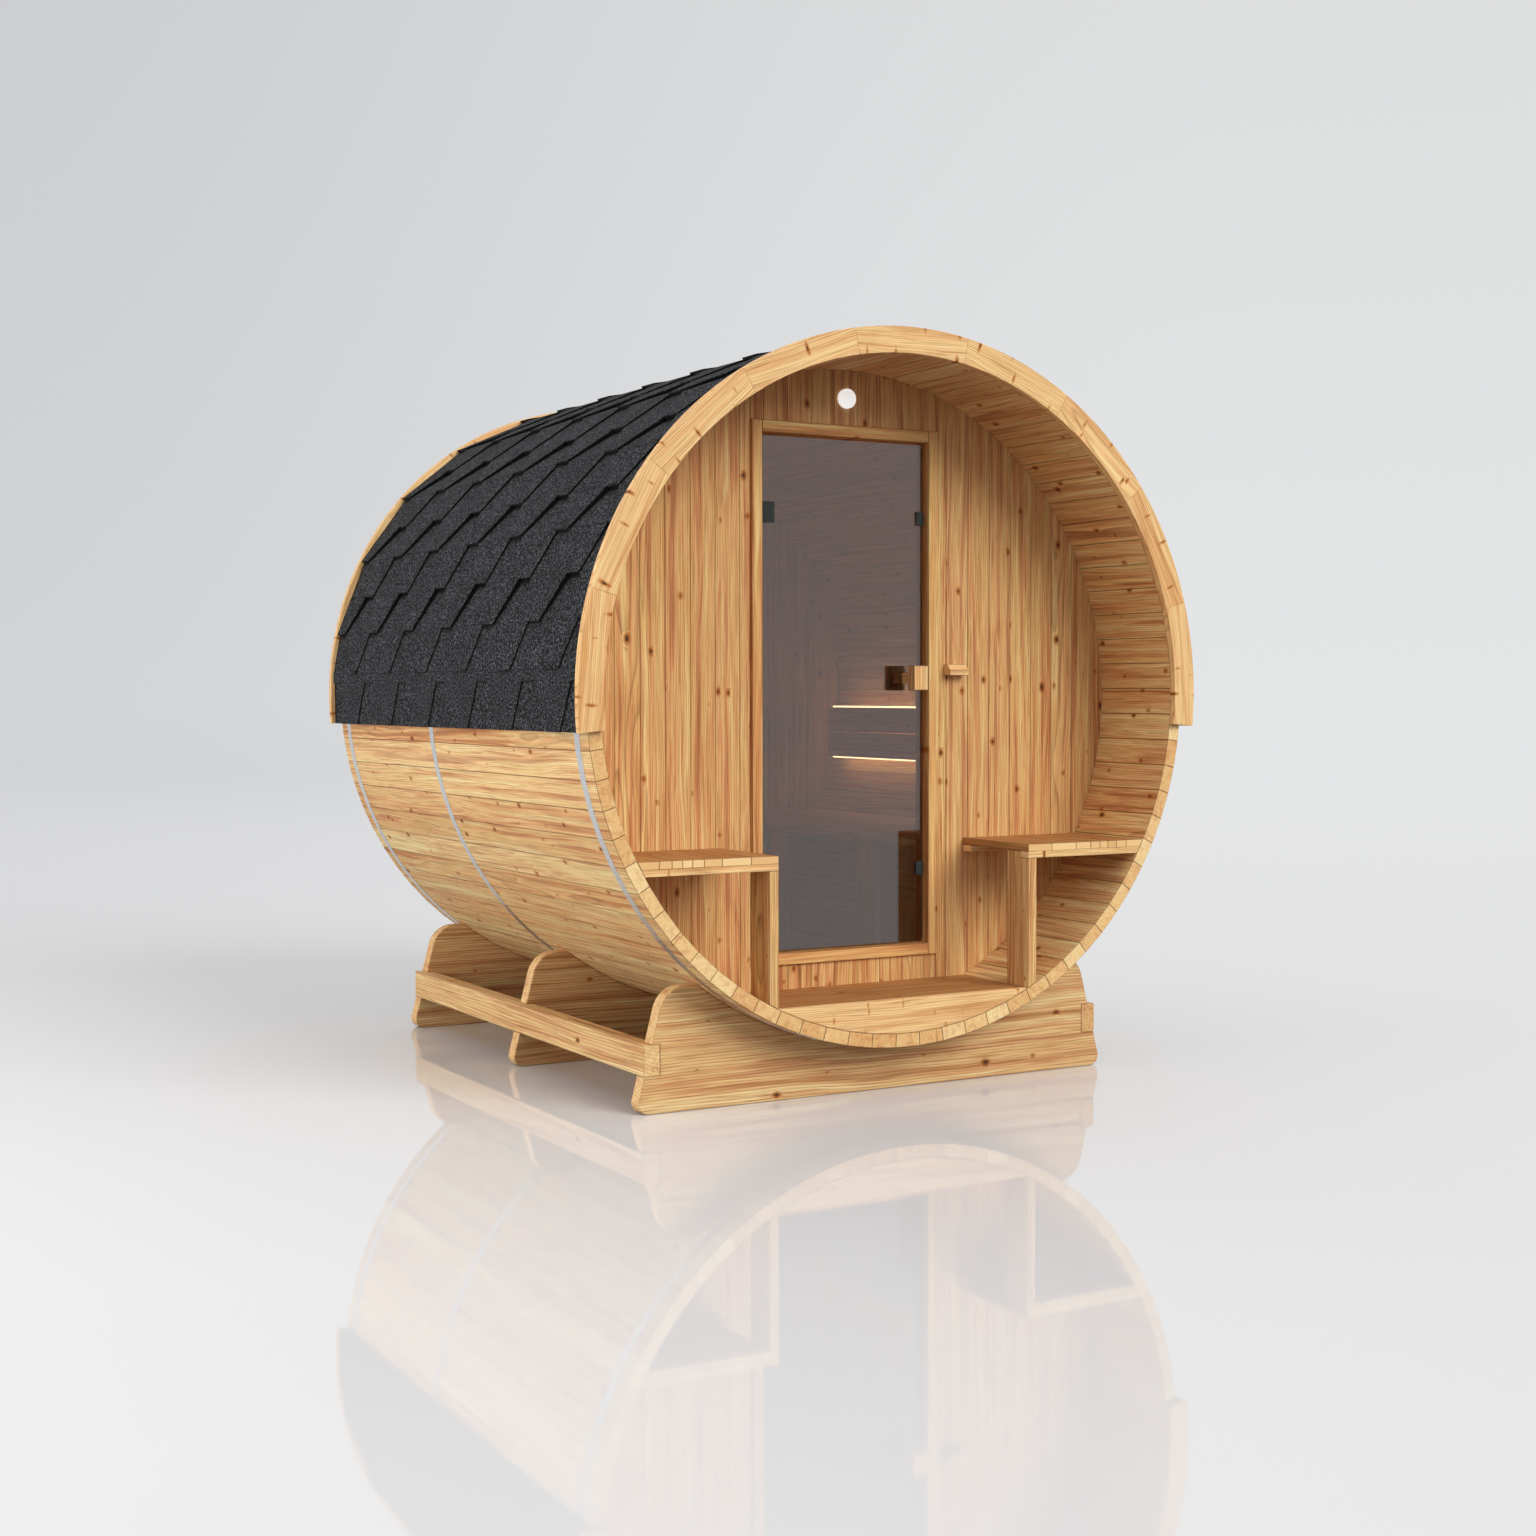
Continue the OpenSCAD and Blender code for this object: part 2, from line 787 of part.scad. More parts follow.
module wall_peg() {
    color(PINE)
        translate([frame_x + peg_gap, wall_y, axis_z + peg_rise - peg_h / 2])
            rotate([90, 0, 90])
                linear_extrude(peg_w)
                    polygon([[0, 0], [0, peg_h], [-peg_t / 2, peg_h],
                             [-peg_t, peg_h / 2], [-peg_t, 0]]);
}

shell_part(0);  // shell_upper_left
shell_part(1);  // shell_left
shell_part(2);  // shell_lower_left
shell_part(3);  // shell_bottom
shell_part(4);  // shell_lower_right
shell_part(5);  // shell_right
shell_part(6);  // shell_upper_right
front_wall_side(-1);  // front_wall_left
front_wall_side(1);  // front_wall_right
front_wall_over_door();
front_wall_under_door();
rear_wall();
porch_floor();
porch_floor_riser();
cabin_floor();
door_jamb(-1);  // door_jamb_left
door_jamb(1);  // door_jamb_right
door_head();
door_sill();
door_glass();
door_handles();
hinge_clamps();
door_catches();
hinge_brackets();
porch_seat(-1);  // porch_seat_left
porch_seat(1);  // porch_seat_right
porch_posts();
bench(-1);  // bench_left
bench(1);  // bench_right
bench_legs();
backrest(-1);  // backrest_left
backrest(1);  // backrest_right
light_strips();
roof_half(-1);  // roof_left
roof_half(1);  // roof_right
fascia(front_y - fascia_t);  // front_fascia
fascia(rear_y);  // rear_fascia
steel_bands();
cradle(0);  // cradle_front_board
cradle(1);  // cradle_middle_board
cradle(2);  // cradle_rear_board
cradle_rails();
porch_lamp();
wall_peg();
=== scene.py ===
"""Looks of the barrel sauna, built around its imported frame.

Every length is in metres and every place is in the frame's own axes: Z up, Y from
the porch to the rear wall, X zero at the middle of the barrel.
"""

from __future__ import annotations

import logging
import math
import random
from collections.abc import Callable
from dataclasses import dataclass
from enum import Enum
from functools import partial

import bmesh
import bpy
from bmesh.types import BMesh, BMFace
from bpy.types import Material, Mesh, NodeOutputs, NodeSocket, NodeTree, Object
from mathutils import Matrix, Vector


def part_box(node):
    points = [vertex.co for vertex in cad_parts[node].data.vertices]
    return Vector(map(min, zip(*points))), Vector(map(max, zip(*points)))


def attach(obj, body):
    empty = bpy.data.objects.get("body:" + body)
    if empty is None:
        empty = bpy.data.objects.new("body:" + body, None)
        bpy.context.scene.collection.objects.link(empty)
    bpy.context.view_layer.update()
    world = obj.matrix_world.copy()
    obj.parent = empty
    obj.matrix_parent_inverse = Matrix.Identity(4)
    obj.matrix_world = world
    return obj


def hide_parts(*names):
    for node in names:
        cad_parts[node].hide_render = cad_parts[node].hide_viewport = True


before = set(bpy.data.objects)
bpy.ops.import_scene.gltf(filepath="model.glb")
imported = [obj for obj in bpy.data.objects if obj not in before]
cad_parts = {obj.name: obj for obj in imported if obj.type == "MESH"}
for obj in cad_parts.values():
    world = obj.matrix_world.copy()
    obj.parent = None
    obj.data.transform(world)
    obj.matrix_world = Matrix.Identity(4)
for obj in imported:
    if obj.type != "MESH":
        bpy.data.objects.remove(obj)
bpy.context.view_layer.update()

log = logging.getLogger("barrel_sauna")

MM = 0.001
X = Vector((1, 0, 0))
Y = Vector((0, 1, 0))
Z = Vector((0, 0, 1))

# Height of the barrel's axis, and of the underside of every seat's slats
AXIS_HEIGHT = 1.142
SLAT_UNDER = 0.682

# Width of a saw cut between boards, and how near two points count as one
SAW_CUT = 0.1 * MM
WELD = 0.01 * MM
ON_PLANE = 0.002 * MM
SLIVER = 0.02 * MM

# Width of the flat planed on the edges of the battens under the slats
BATTEN_EASED = 1 * MM

# Angles in degrees: under the first, faces are one flat face; over the others, an edge is sharp
FLAT_ANGLE = 0.4
BOARD_ANGLE = 30
CAST_ANGLE = 35
SMOOTH_ANGLE = 32

# Sockets of a Mix node of colours: share of the upper colour, both colours, and the result
SHARE, UNDER, OVER, MIXED = 0, 6, 7, 2

Plane = tuple[Vector, Vector]
Colour = tuple[float, float, float, float]
Adder = Callable[..., NodeOutputs]


# Colours and shader nodes


def linear(hex_colour: str) -> Colour:
    """Turns an sRGB hex colour into the linear colour that shaders take.

    Args:
        hex_colour: colour as "#rrggbb".

    Returns:
        Linear red, green, blue and an alpha of 1.
    """
    channels = [int(hex_colour[i : i + 2], 16) / 255 for i in (1, 3, 5)]
    light = [c / 12.92 if c <= 0.04045 else ((c + 0.055) / 1.055) ** 2.4 for c in channels]
    return (*light, 1.0)


def dimmed(colour: Colour, share: float) -> Colour:
    """Gives a linear colour with only a share of its light."""
    return (*(share * c for c in colour[:3]), 1.0)


def add_node(
    tree: NodeTree, kind: str, inputs: dict | None = None, **settings: object
) -> NodeOutputs:
    """Adds a node with its settings and links.

    Args:
        tree: node tree that gets the node.
        kind: Blender's name for the kind of node, without its "ShaderNode".
        inputs: what feeds each input, by its name or number: a socket or a plain value.
        settings: the node's own options. "stops" gives a colour ramp its positions and colours.

    Returns:
        The new node's outputs.
    """
    node = tree.nodes.new(f"ShaderNode{kind}")
    stops = settings.pop("stops", None)
    for name, value in settings.items():
        setattr(node, name, value)
    for key, value in (inputs or {}).items():
        if isinstance(value, NodeSocket):
            tree.links.new(value, node.inputs[key])
        else:
            node.inputs[key].default_value = value
    if stops:
        elements = node.color_ramp.elements
        while len(elements) < len(stops):
            elements.new(1.0)
        for element, (position, colour) in zip(elements, stops):
            element.position = position
            element.color = linear(colour) if isinstance(colour, str) else (colour,) * 3 + (1,)
    return node.outputs


def new_material(name: str) -> tuple[Material, Adder]:
    """Makes an empty material.

    Args:
        name: name of the real material.

    Returns:
        The material and the function that adds a node to it.
    """
    material = bpy.data.materials.new(name)
    material.use_nodes = True
    material.node_tree.nodes.clear()
    return material, partial(add_node, material.node_tree)


# Finishes. Every number of waves is per metre


@dataclass(frozen=True)
class Pine:
    """Planed and oiled Nordic pine: golden, with pink and straw streaks, year rings and knots.

    The rings and fibres run through the whole board, so faces show long grain and ends show
    arcs. Waves are given along the grain, across it and through the board.
    """

    name: str
    tones: tuple[str, ...]
    streaks: tuple[str, ...] = ("#f6da96", "#dcaa68", "#edc482", "#db9762", "#a8683a")
    ends: tuple[str, ...] = ("#f9d499", "#f0c487", "#e4b274")
    vein: str = "#bd7340"
    late_wood: str = "#8a5426"
    fibre: str = "#b57a44"
    knot_rim: str = "#cc9c66"
    knot_core: str = "#4c3018"
    joint: str = "#5a3717"
    ring_pitch: float = 5.5 * MM
    ring_depth: float = 0.5
    knot_every: float = 0.24
    knot_lane: float = 0.08
    knot_share: float = 0.6
    knot_radius: float = 6.5 * MM
    knot_stretch: float = 1.25
    knot_ragged: float = 7 * MM
    swirl_push: float = 9 * MM
    wander: float = 0.05
    wander_waves: tuple[float, ...] = (1.1, 7, 7)
    streak_waves: tuple[float, ...] = (0.9, 48, 48)
    vein_waves: tuple[float, ...] = (2.6, 115, 115)
    fibre_waves: tuple[float, ...] = (5, 240, 240)
    ragged_waves: float = 150.0
    streak_depth: float = 0.68
    vein_depth: float = 0.5
    fibre_depth: float = 0.55
    joint_shade: float = 0.75
    end_shade: float = 0.6
    relief: float = 0.6 * MM

    def material(self) -> Material:
        """Builds the shader, or returns the one already built under this name.

        Returns:
            The material.
        """
        if self.name in bpy.data.materials:
            return bpy.data.materials[self.name]
        material, add = new_material(self.name)
        wood = add("Attribute", attribute_name="grain")["Vector"]
        tone, end, edge = (
            add("Attribute", attribute_name=name)["Fac"] for name in ("tone", "end", "edge")
        )
        knot, swirl = self.knots(add, wood, end)

        # Slow wander of the fibres, about 15 mm sideways over a metre
        slow = add("VectorMath", {0: wood, 1: self.wander_waves}, operation="MULTIPLY")[0]
        drift = add("TexNoise", {"Vector": slow, "Scale": 1.0, "Detail": 2.0})["Color"]
        most, middle = (0, self.wander, self.wander), (0, -self.wander / 2, -self.wander / 2)
        shift = add("VectorMath", {0: drift, 1: most, 2: middle}, operation="MULTIPLY_ADD")[0]
        bent = add("VectorMath", {0: wood, 1: shift})[0]
        ring = self.rings(add, bent, swirl)

        # Bands of sapwood and resin 10 to 30 mm wide, veins 9 mm wide, and fibres drawn
        # 4 mm wide so that they show
        streaks, veins, fibres = (
            add(
                "TexNoise",
                {
                    "Vector": add("VectorMath", {0: bent, 1: waves}, operation="MULTIPLY")[0],
                    "Scale": 1.0,
                    "Detail": 3.0,
                    "Roughness": 0.6,
                },
            )[0]
            for waves in (self.streak_waves, self.vein_waves, self.fibre_waves)
        )
        tones = [(i / (len(self.tones) - 1), c) for i, c in enumerate(self.tones)]
        bands = list(zip((0.37, 0.44, 0.5, 0.56, 0.65), self.streaks))
        ends = list(zip((0.0, 0.5, 1.0), self.ends))
        colour, band, sawn = (
            add("ValToRGB", {0: value}, stops=stops)["Color"]
            for value, stops in ((tone, tones), (streaks, bands), (tone, ends))
        )
        vein_share, fibre_share = (
            add("MapRange", {"Value": value, "From Min": 0.5, "From Max": full, "To Max": most})[0]
            for value, full, most in (
                (veins, 0.66, self.vein_depth),
                (fibres, 0.72, self.fibre_depth),
            )
        )
        late_share = add("Math", {0: 1.0, 1: ring}, operation="SUBTRACT")[0]
        late = {SHARE: self.ring_depth, UNDER: (1, 1, 1, 1), OVER: linear(self.late_wood)}
        late_shade = add("Mix", late, data_type="RGBA")[MIXED]
        sawn_share, rim_share, joint_share = (
            add("Math", {0: value, 1: factor}, operation="MULTIPLY")[0]
            for value, factor in ((end, self.end_shade), (swirl, swirl), (edge, self.joint_shade))
        )

        # Each layer lies over the ones before it
        for share, over, blend in (
            (self.streak_depth, band, "MIX"),
            (vein_share, linear(self.vein), "MIX"),
            (late_share, late_shade, "MULTIPLY"),
            (fibre_share, linear(self.fibre), "MULTIPLY"),
            (sawn_share, sawn, "MIX"),
            (rim_share, linear(self.knot_rim), "MULTIPLY"),
            (knot, linear(self.knot_core), "MIX"),
            (joint_share, linear(self.joint), "MIX"),
        ):
            layer = {SHARE: share, UNDER: colour, OVER: over}
            colour = add("Mix", layer, data_type="RGBA", blend_type=blend)[MIXED]

        roughness = add("MapRange", {"Value": ring, "To Min": 0.5, "To Max": 0.62})[0]
        relief = add("Bump", {"Height": fibres, "Strength": 0.25, "Distance": self.relief})[0]
        shader = add(
            "BsdfPrincipled",
            {"Base Color": colour, "Roughness": roughness, "IOR": 1.46, "Normal": relief},
        )
        add("OutputMaterial", {0: shader[0]})
        return material

    def knots(
        self, add: Adder, wood: NodeSocket, end: NodeSocket
    ) -> tuple[NodeSocket, NodeSocket]:
        """Sets in the knots: branches that cross the board, one at most in each cell.

        Args:
            add: adds a node to the material.
            wood: place in the log, along the grain first.
            end: 1 on end grain, else 0.

        Returns:
            How much of a point is knot, and how much its grain swirls round one.
        """
        per_metre = (1 / self.knot_every, 1 / self.knot_lane, 0.0)
        scaled = add("VectorMath", {0: wood, 1: per_metre}, operation="MULTIPLY")[0]
        cells = add("TexVoronoi", {"Vector": scaled, "Scale": 1.0}, voronoi_dimensions="2D")
        offset = add("VectorMath", {0: scaled, 1: cells["Position"]}, operation="SUBTRACT")[0]
        oval = (self.knot_every / self.knot_stretch, self.knot_lane * self.knot_stretch, 0.0)
        flat = add("VectorMath", {0: offset, 1: oval}, operation="MULTIPLY")[0]
        away = add("VectorMath", {0: flat}, operation="LENGTH")["Value"]
        ragged = add("TexNoise", {"Vector": wood, "Scale": self.ragged_waves, "Detail": 2.0})[0]
        reach = add("Math", {0: ragged, 1: self.knot_ragged, 2: away}, operation="MULTIPLY_ADD")[0]
        # None shows on end grain, where the rings are all there is to see
        luck = add("SeparateColor", {0: cells["Color"]})[0]
        chance = add("Math", {0: luck, 1: end}, operation="SUBTRACT")[0]
        least = -self.knot_radius * (1 - self.knot_share) / self.knot_share
        sizes = {"Value": chance, "To Min": least, "To Max": self.knot_radius}
        radius = add("MapRange", sizes)[0]
        inside = add("Math", {0: radius, 1: reach}, operation="SUBTRACT")[0]
        knot, swirl = (
            add(
                "MapRange",
                {"Value": inside, "From Min": none, "From Max": full},
                interpolation_type=fade,
            )[0]
            for none, full, fade in (
                (-4 * MM, -1.5 * MM, "LINEAR"),
                (-19 * MM, -3 * MM, "SMOOTHERSTEP"),
            )
        )
        return knot, swirl

    def rings(self, add: Adder, bent: NodeSocket, swirl: NodeSocket) -> NodeSocket:
        """Draws the year rings round the heart of the log, pushed aside by the knots.

        Args:
            add: adds a node to the material.
            bent: place in the log, with its fibres' wander.
            swirl: how much the grain swirls round a knot.

        Returns:
            1 in pale early wood, down to 0 in dark late wood.
        """
        across = add("VectorMath", {0: bent, 1: (0, 1, 1)}, operation="MULTIPLY")[0]
        from_heart = add("VectorMath", {0: across}, operation="LENGTH")["Value"]
        push = {0: swirl, 1: self.swirl_push, 2: from_heart}
        pushed = add("Math", push, operation="MULTIPLY_ADD")[0]
        years = add("Math", {0: pushed, 1: self.ring_pitch}, operation="DIVIDE")[0]
        year = add("Math", {0: years}, operation="FRACT")[0]
        growth = [(0.0, 1.0), (0.5, 0.9), (0.76, 0.45), (0.88, 0.0), (0.95, 0.6), (1.0, 1.0)]
        return add("ValToRGB", {0: year}, stops=growth)["Color"]


@dataclass(frozen=True)
class BitumenShingle:
    """Bitumen shingle with slate granules: near black and dull, with a sparkle of grey grit."""

    name: str = "slate_granule_bitumen_shingle"
    dark: str = "#030304"
    mean: str = "#0e0f10"
    light: str = "#5e5f63"
    worn: str = "#111213"
    # Painted shade: the near black laid in the slots between tabs, and how far occlusion looks for
    # them
    crevice_shade: str = "#010101"
    grit_waves: float = 165.0
    grit_depth: float = 4 * MM
    patch_waves: float = 14.0
    patch_share: float = 0.35
    shade_reach: float = 18 * MM
    roughness: float = 0.95

    def material(self) -> Material:
        """Builds the shader.

        Returns:
            The material.
        """
        material, add = new_material(self.name)
        spot = add("TexCoord")["Object"]
        # Granules are about 1.5 mm across; drawn at 6 mm so that they show
        fine = {"Vector": spot, "Scale": self.grit_waves, "Detail": 3.0, "Roughness": 0.6}
        grit = add("TexNoise", fine)[0]
        patch = add("TexNoise", {"Vector": spot, "Scale": self.patch_waves, "Detail": 3.0})[0]
        grains = [(0.4, self.dark), (0.5, self.mean), (0.6, self.light)]
        granules = add("ValToRGB", {0: grit}, stops=grains)["Color"]
        # Painted shade: occlusion blackens the foot of each tab's edge and the slots between tabs,
        # where shade falls
        crevice_occlusion = add("AmbientOcclusion", {"Distance": self.shade_reach}, samples=8)["AO"]
        worn_share, unshaded_share = (
            add("MapRange", {"Value": value, "From Min": none, "From Max": full, "To Max": most})[0]
            for value, none, full, most in (
                (patch, 0.35, 0.65, self.patch_share),
                (crevice_occlusion, 0.7, 0.95, 1.0),
            )
        )
        worn = {SHARE: worn_share, UNDER: granules, OVER: linear(self.worn)}
        surface = add("Mix", worn, data_type="RGBA")[MIXED]
        crevice_mix = {SHARE: unshaded_share, UNDER: linear(self.crevice_shade), OVER: surface}
        surface = add("Mix", crevice_mix, data_type="RGBA")[MIXED]
        relief = add("Bump", {"Height": grit, "Strength": 0.9, "Distance": self.grit_depth})[0]
        shader = add(
            "BsdfPrincipled",
            {"Base Color": surface, "Roughness": self.roughness, "IOR": 1.4, "Normal": relief},
        )
        add("OutputMaterial", {0: shader[0]})
        return material


@dataclass(frozen=True)
class CoatedGlass:
    """Bronze solar-control float glass: its metal-oxide coat mirrors a brown-grey veil."""

    name: str = "bronze_coated_float_glass"
    tint: str = "#807976"
    roughness: float = 0.015
    veil: float = 0.55
    veil_drift: float = 0.02
    veil_waves: float = 1.6

    def material(self) -> Material:
        """Builds the shader.

        Returns:
            The material.
        """
        material, add = new_material(self.name)
        spot = add("TexCoord")["Object"]
        haze = add("TexNoise", {"Vector": spot, "Scale": self.veil_waves, "Detail": 2.0})[0]
        low, high = self.veil - self.veil_drift, self.veil + self.veil_drift
        veil = add(
            "MapRange",
            {"Value": haze, "From Min": 0.35, "From Max": 0.65, "To Min": low, "To Max": high},
        )
        shader = add(
            "BsdfPrincipled",
            {
                "Base Color": linear(self.tint),
                "Metallic": 1.0,
                "Roughness": self.roughness,
                "Alpha": veil[0],
            },
        )
        add("OutputMaterial", {0: shader[0]})
        return material


@dataclass(frozen=True)
class Metal:
    """Rolled or cast metal: brushed lines on steel strip, a faint cast grain under dark paint."""

    name: str
    colour: str
    metallic: float
    roughness: float
    line_waves: tuple[float, float, float]
    line_depth: float
    line_shade: float = 0.82
    relief: float = 0.2 * MM

    def material(self) -> Material:
        """Builds the shader.

        Returns:
            The material.
        """
        material, add = new_material(self.name)
        spot = add("TexCoord")["Object"]
        drawn = add("VectorMath", {0: spot, 1: self.line_waves}, operation="MULTIPLY")[0]
        lines = add("TexNoise", {"Vector": drawn, "Scale": 1.0, "Detail": 3.0})[0]
        low, high = self.roughness - self.line_depth, self.roughness + self.line_depth
        roughness = add(
            "MapRange",
            {"Value": lines, "From Min": 0.3, "From Max": 0.7, "To Min": low, "To Max": high},
        )
        base = linear(self.colour)
        shades = {SHARE: lines, UNDER: base, OVER: dimmed(base, self.line_shade)}
        relief = add("Bump", {"Height": lines, "Strength": 0.15, "Distance": self.relief})
        shader = add(
            "BsdfPrincipled",
            {
                "Base Color": add("Mix", shades, data_type="RGBA")[MIXED],
                "Metallic": self.metallic,
                "Roughness": roughness[0],
                "Normal": relief[0],
            },
        )
        add("OutputMaterial", {0: shader[0]})
        return material


@dataclass(frozen=True)
class Plastic:
    """Moulded plastic, plain, lit from inside, or with a painted glow: an even colour with a very
    fine grain.
    """

    name: str
    colour: str
    roughness: float
    glow: str = "#000000"
    glow_strength: float = 0.0
    grain_waves: float = 900.0
    grain_shade: float = 0.93
    relief: float = 0.1 * MM

    def material(self) -> Material:
        """Builds the shader.

        Returns:
            The material.
        """
        material, add = new_material(self.name)
        spot = add("TexCoord")["Object"]
        grain = add("TexNoise", {"Vector": spot, "Scale": self.grain_waves, "Detail": 2.0})[0]
        base = linear(self.colour)
        shades = {SHARE: grain, UNDER: base, OVER: dimmed(base, self.grain_shade)}
        relief = add("Bump", {"Height": grain, "Strength": 0.1, "Distance": self.relief})
        shader = add(
            "BsdfPrincipled",
            {
                "Base Color": add("Mix", shades, data_type="RGBA")[MIXED],
                "Roughness": self.roughness,
                "IOR": 1.49,
                "Emission Color": linear(self.glow),
                "Emission Strength": self.glow_strength,
                "Normal": relief[0],
            },
        )
        add("OutputMaterial", {0: shader[0]})
        return material


WALL_TONES = ("#e2b575", "#d3a063", "#e5bb83", "#ca9152", "#dca670")
STAVE_TONES = ("#ffeaac", "#d79e5e", "#fbd194", "#c98d50", "#ffe5aa", "#e4ac6e")
FRAME_TONES = ("#e2b069", "#d6a15e")
FASCIA_TONES = ("#fad091", "#f2c17e", "#fbd598")
SHADED_TONES = ("#c28b50", "#b37d46", "#ca955e", "#aa733e")
CRADLE_TONES = ("#eebf7c", "#dfa968", "#f1c58a", "#d69b59")

SHADED_STREAKS = ("#d4a466", "#b68045", "#c9945c", "#b27641", "#8e5a2c")
WARM_STREAKS = ("#ffecb0", "#ecc27e", "#fcd899", "#ecae76", "#bb7b4a")
PALE_STREAKS = ("#ffe2a6", "#f4c988", "#fdd59a", "#f2bd80", "#dca162")
BROAD_STREAKS = ("#f6e0a8", "#dfb67e", "#efce92", "#dea97a", "#ad7a4c")

# Staves come from many logs, so straw and brown ones lie side by side
STAVE_PINE = Pine(
    "oiled_pine_staves",
    STAVE_TONES,
    WARM_STREAKS,
    ends=("#fcdfa4", "#efc283", "#d99f60"),
    ring_depth=0.42,
    vein_depth=0.42,
    joint_shade=0.65,
    end_shade=0.5,
)
# Wall boards are knotty, and their joints show as faint lines
WALL_PINE = Pine(
    "oiled_pine_wall_boards",
    WALL_TONES,
    knot_every=0.3,
    knot_share=0.7,
    knot_radius=8 * MM,
    joint_shade=0.3,
)
# The door frame is joinery timber, even and nearly free of knots
FRAME_PINE = Pine("oiled_pine_frame", FRAME_TONES, knot_share=0.25, ring_depth=0.3)
# The arch boards have spike knots, which show as short dashes across the grain
FASCIA_PINE = Pine(
    "planed_pine_fascia",
    FASCIA_TONES,
    PALE_STREAKS,
    knot_every=0.12,
    knot_lane=0.06,
    knot_share=0.45,
    knot_radius=6 * MM,
    knot_stretch=0.55,
    ring_depth=0.4,
    vein_depth=0.3,
    joint_shade=0.0,
)
# Decks and porch seats get darker tones and streaks as painted shade, but their sawn ends stay pale
SLAT_PINE = Pine("shade_darkened_pine_slats", SHADED_TONES, SHADED_STREAKS, knot_share=0.35, end_shade=0.95)
# Posts, benches and legs are planed from clearer wood
SEAT_PINE = Pine("planed_pine_posts", STAVE_TONES, knot_share=0.35)
# Cradle boards are wide, with broad rings and large, sparse knots
CRADLE_PINE = Pine(
    "oiled_pine_cradle",
    CRADLE_TONES,
    BROAD_STREAKS,
    ring_pitch=9 * MM,
    knot_every=0.34,
    knot_lane=0.1,
    knot_radius=9 * MM,
    joint_shade=0.3,
    end_shade=0.3,
)
# Handles and peg are shaped from pale, clear wood
FITTING_PINE = Pine("turned_pine_fittings", FASCIA_TONES, PALE_STREAKS, knot_share=0.1)


# Meshes of boards


class Sawn(Enum):
    """How a board was cut from its log, which sets how its rings show."""

    FLAT = "flat"
    RIFT = "rift"


def copy_solids(node: str) -> list[BMesh]:
    """Copies a CAD node's mesh and parts it into its solids.

    Each stays in triangles, because a plane does not cut a notched face cleanly.

    Args:
        node: name of the CAD node.

    Returns:
        One mesh for each separate solid.
    """
    whole = bmesh.new()
    whole.from_mesh(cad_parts[node].data)
    bmesh.ops.remove_doubles(whole, verts=whole.verts, dist=WELD)
    whole.verts.index_update()
    label = [-1] * len(whole.verts)
    count = 0
    for first in whole.verts:
        if label[first.index] >= 0:
            continue
        waiting = [first]
        label[first.index] = count
        while waiting:
            for edge in waiting.pop().link_edges:
                for vert in edge.verts:
                    if label[vert.index] < 0:
                        label[vert.index] = count
                        waiting.append(vert)
        count += 1
    parts = [bmesh.new() for _ in range(count)]
    copies = [parts[label[v.index]].verts.new(v.co) for v in whole.verts]
    for face in whole.faces:
        parts[label[face.verts[0].index]].faces.new([copies[v.index] for v in face.verts])
    whole.free()
    return parts


def middle_of(solid: BMesh) -> Vector:
    """Gives the mean of a solid's corners."""
    return sum((v.co for v in solid.verts), Vector()) / len(solid.verts)


def ease_edges(solid: BMesh, width: float, least: float, segments: int = 1) -> set[BMFace]:
    """Makes flat faces whole again from their triangles and eases the sharp edges.

    Args:
        solid: closed mesh.
        width: width of the flat or rounding on each sharp edge.
        least: angle in degrees from which an edge is sharp.
        segments: steps in the rounding.

    Returns:
        The faces along the eased edges.
    """
    bmesh.ops.recalc_face_normals(solid, faces=solid.faces)
    flat = math.radians(FLAT_ANGLE)
    bmesh.ops.dissolve_limit(solid, angle_limit=flat, verts=solid.verts, edges=solid.edges)
    bmesh.ops.recalc_face_normals(solid, faces=solid.faces)
    closed = [e for e in solid.edges if len(e.link_faces) == 2]
    made = bmesh.ops.bevel(
        solid,
        geom=[e for e in closed if e.calc_face_angle(0.0) > math.radians(least)],
        offset=width,
        offset_type="OFFSET",
        affect="EDGES",
        segments=segments,
        profile=0.5,
        clamp_overlap=True,
    )
    bmesh.ops.dissolve_degenerate(solid, dist=SLIVER, edges=solid.edges)
    solid.verts.index_update()
    solid.normal_update()
    return {f for f in made["faces"] if f.is_valid}


def slab(solid: BMesh, low: Plane | None, high: Plane | None) -> BMesh | None:
    """Cuts out of a solid what lies between two planes.

    Args:
        solid: closed mesh, which is left as it is.
        low: point and normal of the plane under the slab, or None.
        high: point and normal of the plane over it, or None.

    Returns:
        The closed slab, or None if nothing is left.
    """
    part = solid.copy()
    for plane, side in ((low, "clear_inner"), (high, "clear_outer")):
        if plane is None:
            continue
        point, normal = plane
        geometry = [*part.verts, *part.edges, *part.faces]
        bmesh.ops.bisect_plane(
            part, geom=geometry, dist=ON_PLANE, plane_co=point, plane_no=normal, **{side: True}
        )
        rims = [e for e in part.edges if e.is_boundary]
        if rims:
            bmesh.ops.holes_fill(part, edges=rims, sides=0)
    return part if part.faces else None


def rip(solid: BMesh, axis: Vector, joints: list[float], least: float = 9 * MM) -> list[BMesh]:
    """Cuts a solid into boards by parallel planes.

    Args:
        solid: closed mesh.
        axis: direction across the boards.
        joints: distance along the axis of each joint between two boards.
        least: a joint nearer than this to the solid's end is left out.

    Returns:
        The boards in order.
    """
    reach = [v.co.dot(axis) for v in solid.verts]
    inside = [j for j in sorted(joints) if min(reach) + least < j < max(reach) - least]
    lows = [None, *((axis * (j + SAW_CUT / 2), axis) for j in inside)]
    highs = [*((axis * (j - SAW_CUT / 2), axis) for j in inside), None]
    boards = [slab(solid, low, high) for low, high in zip(lows, highs)]
    return [b for b in boards if b is not None]


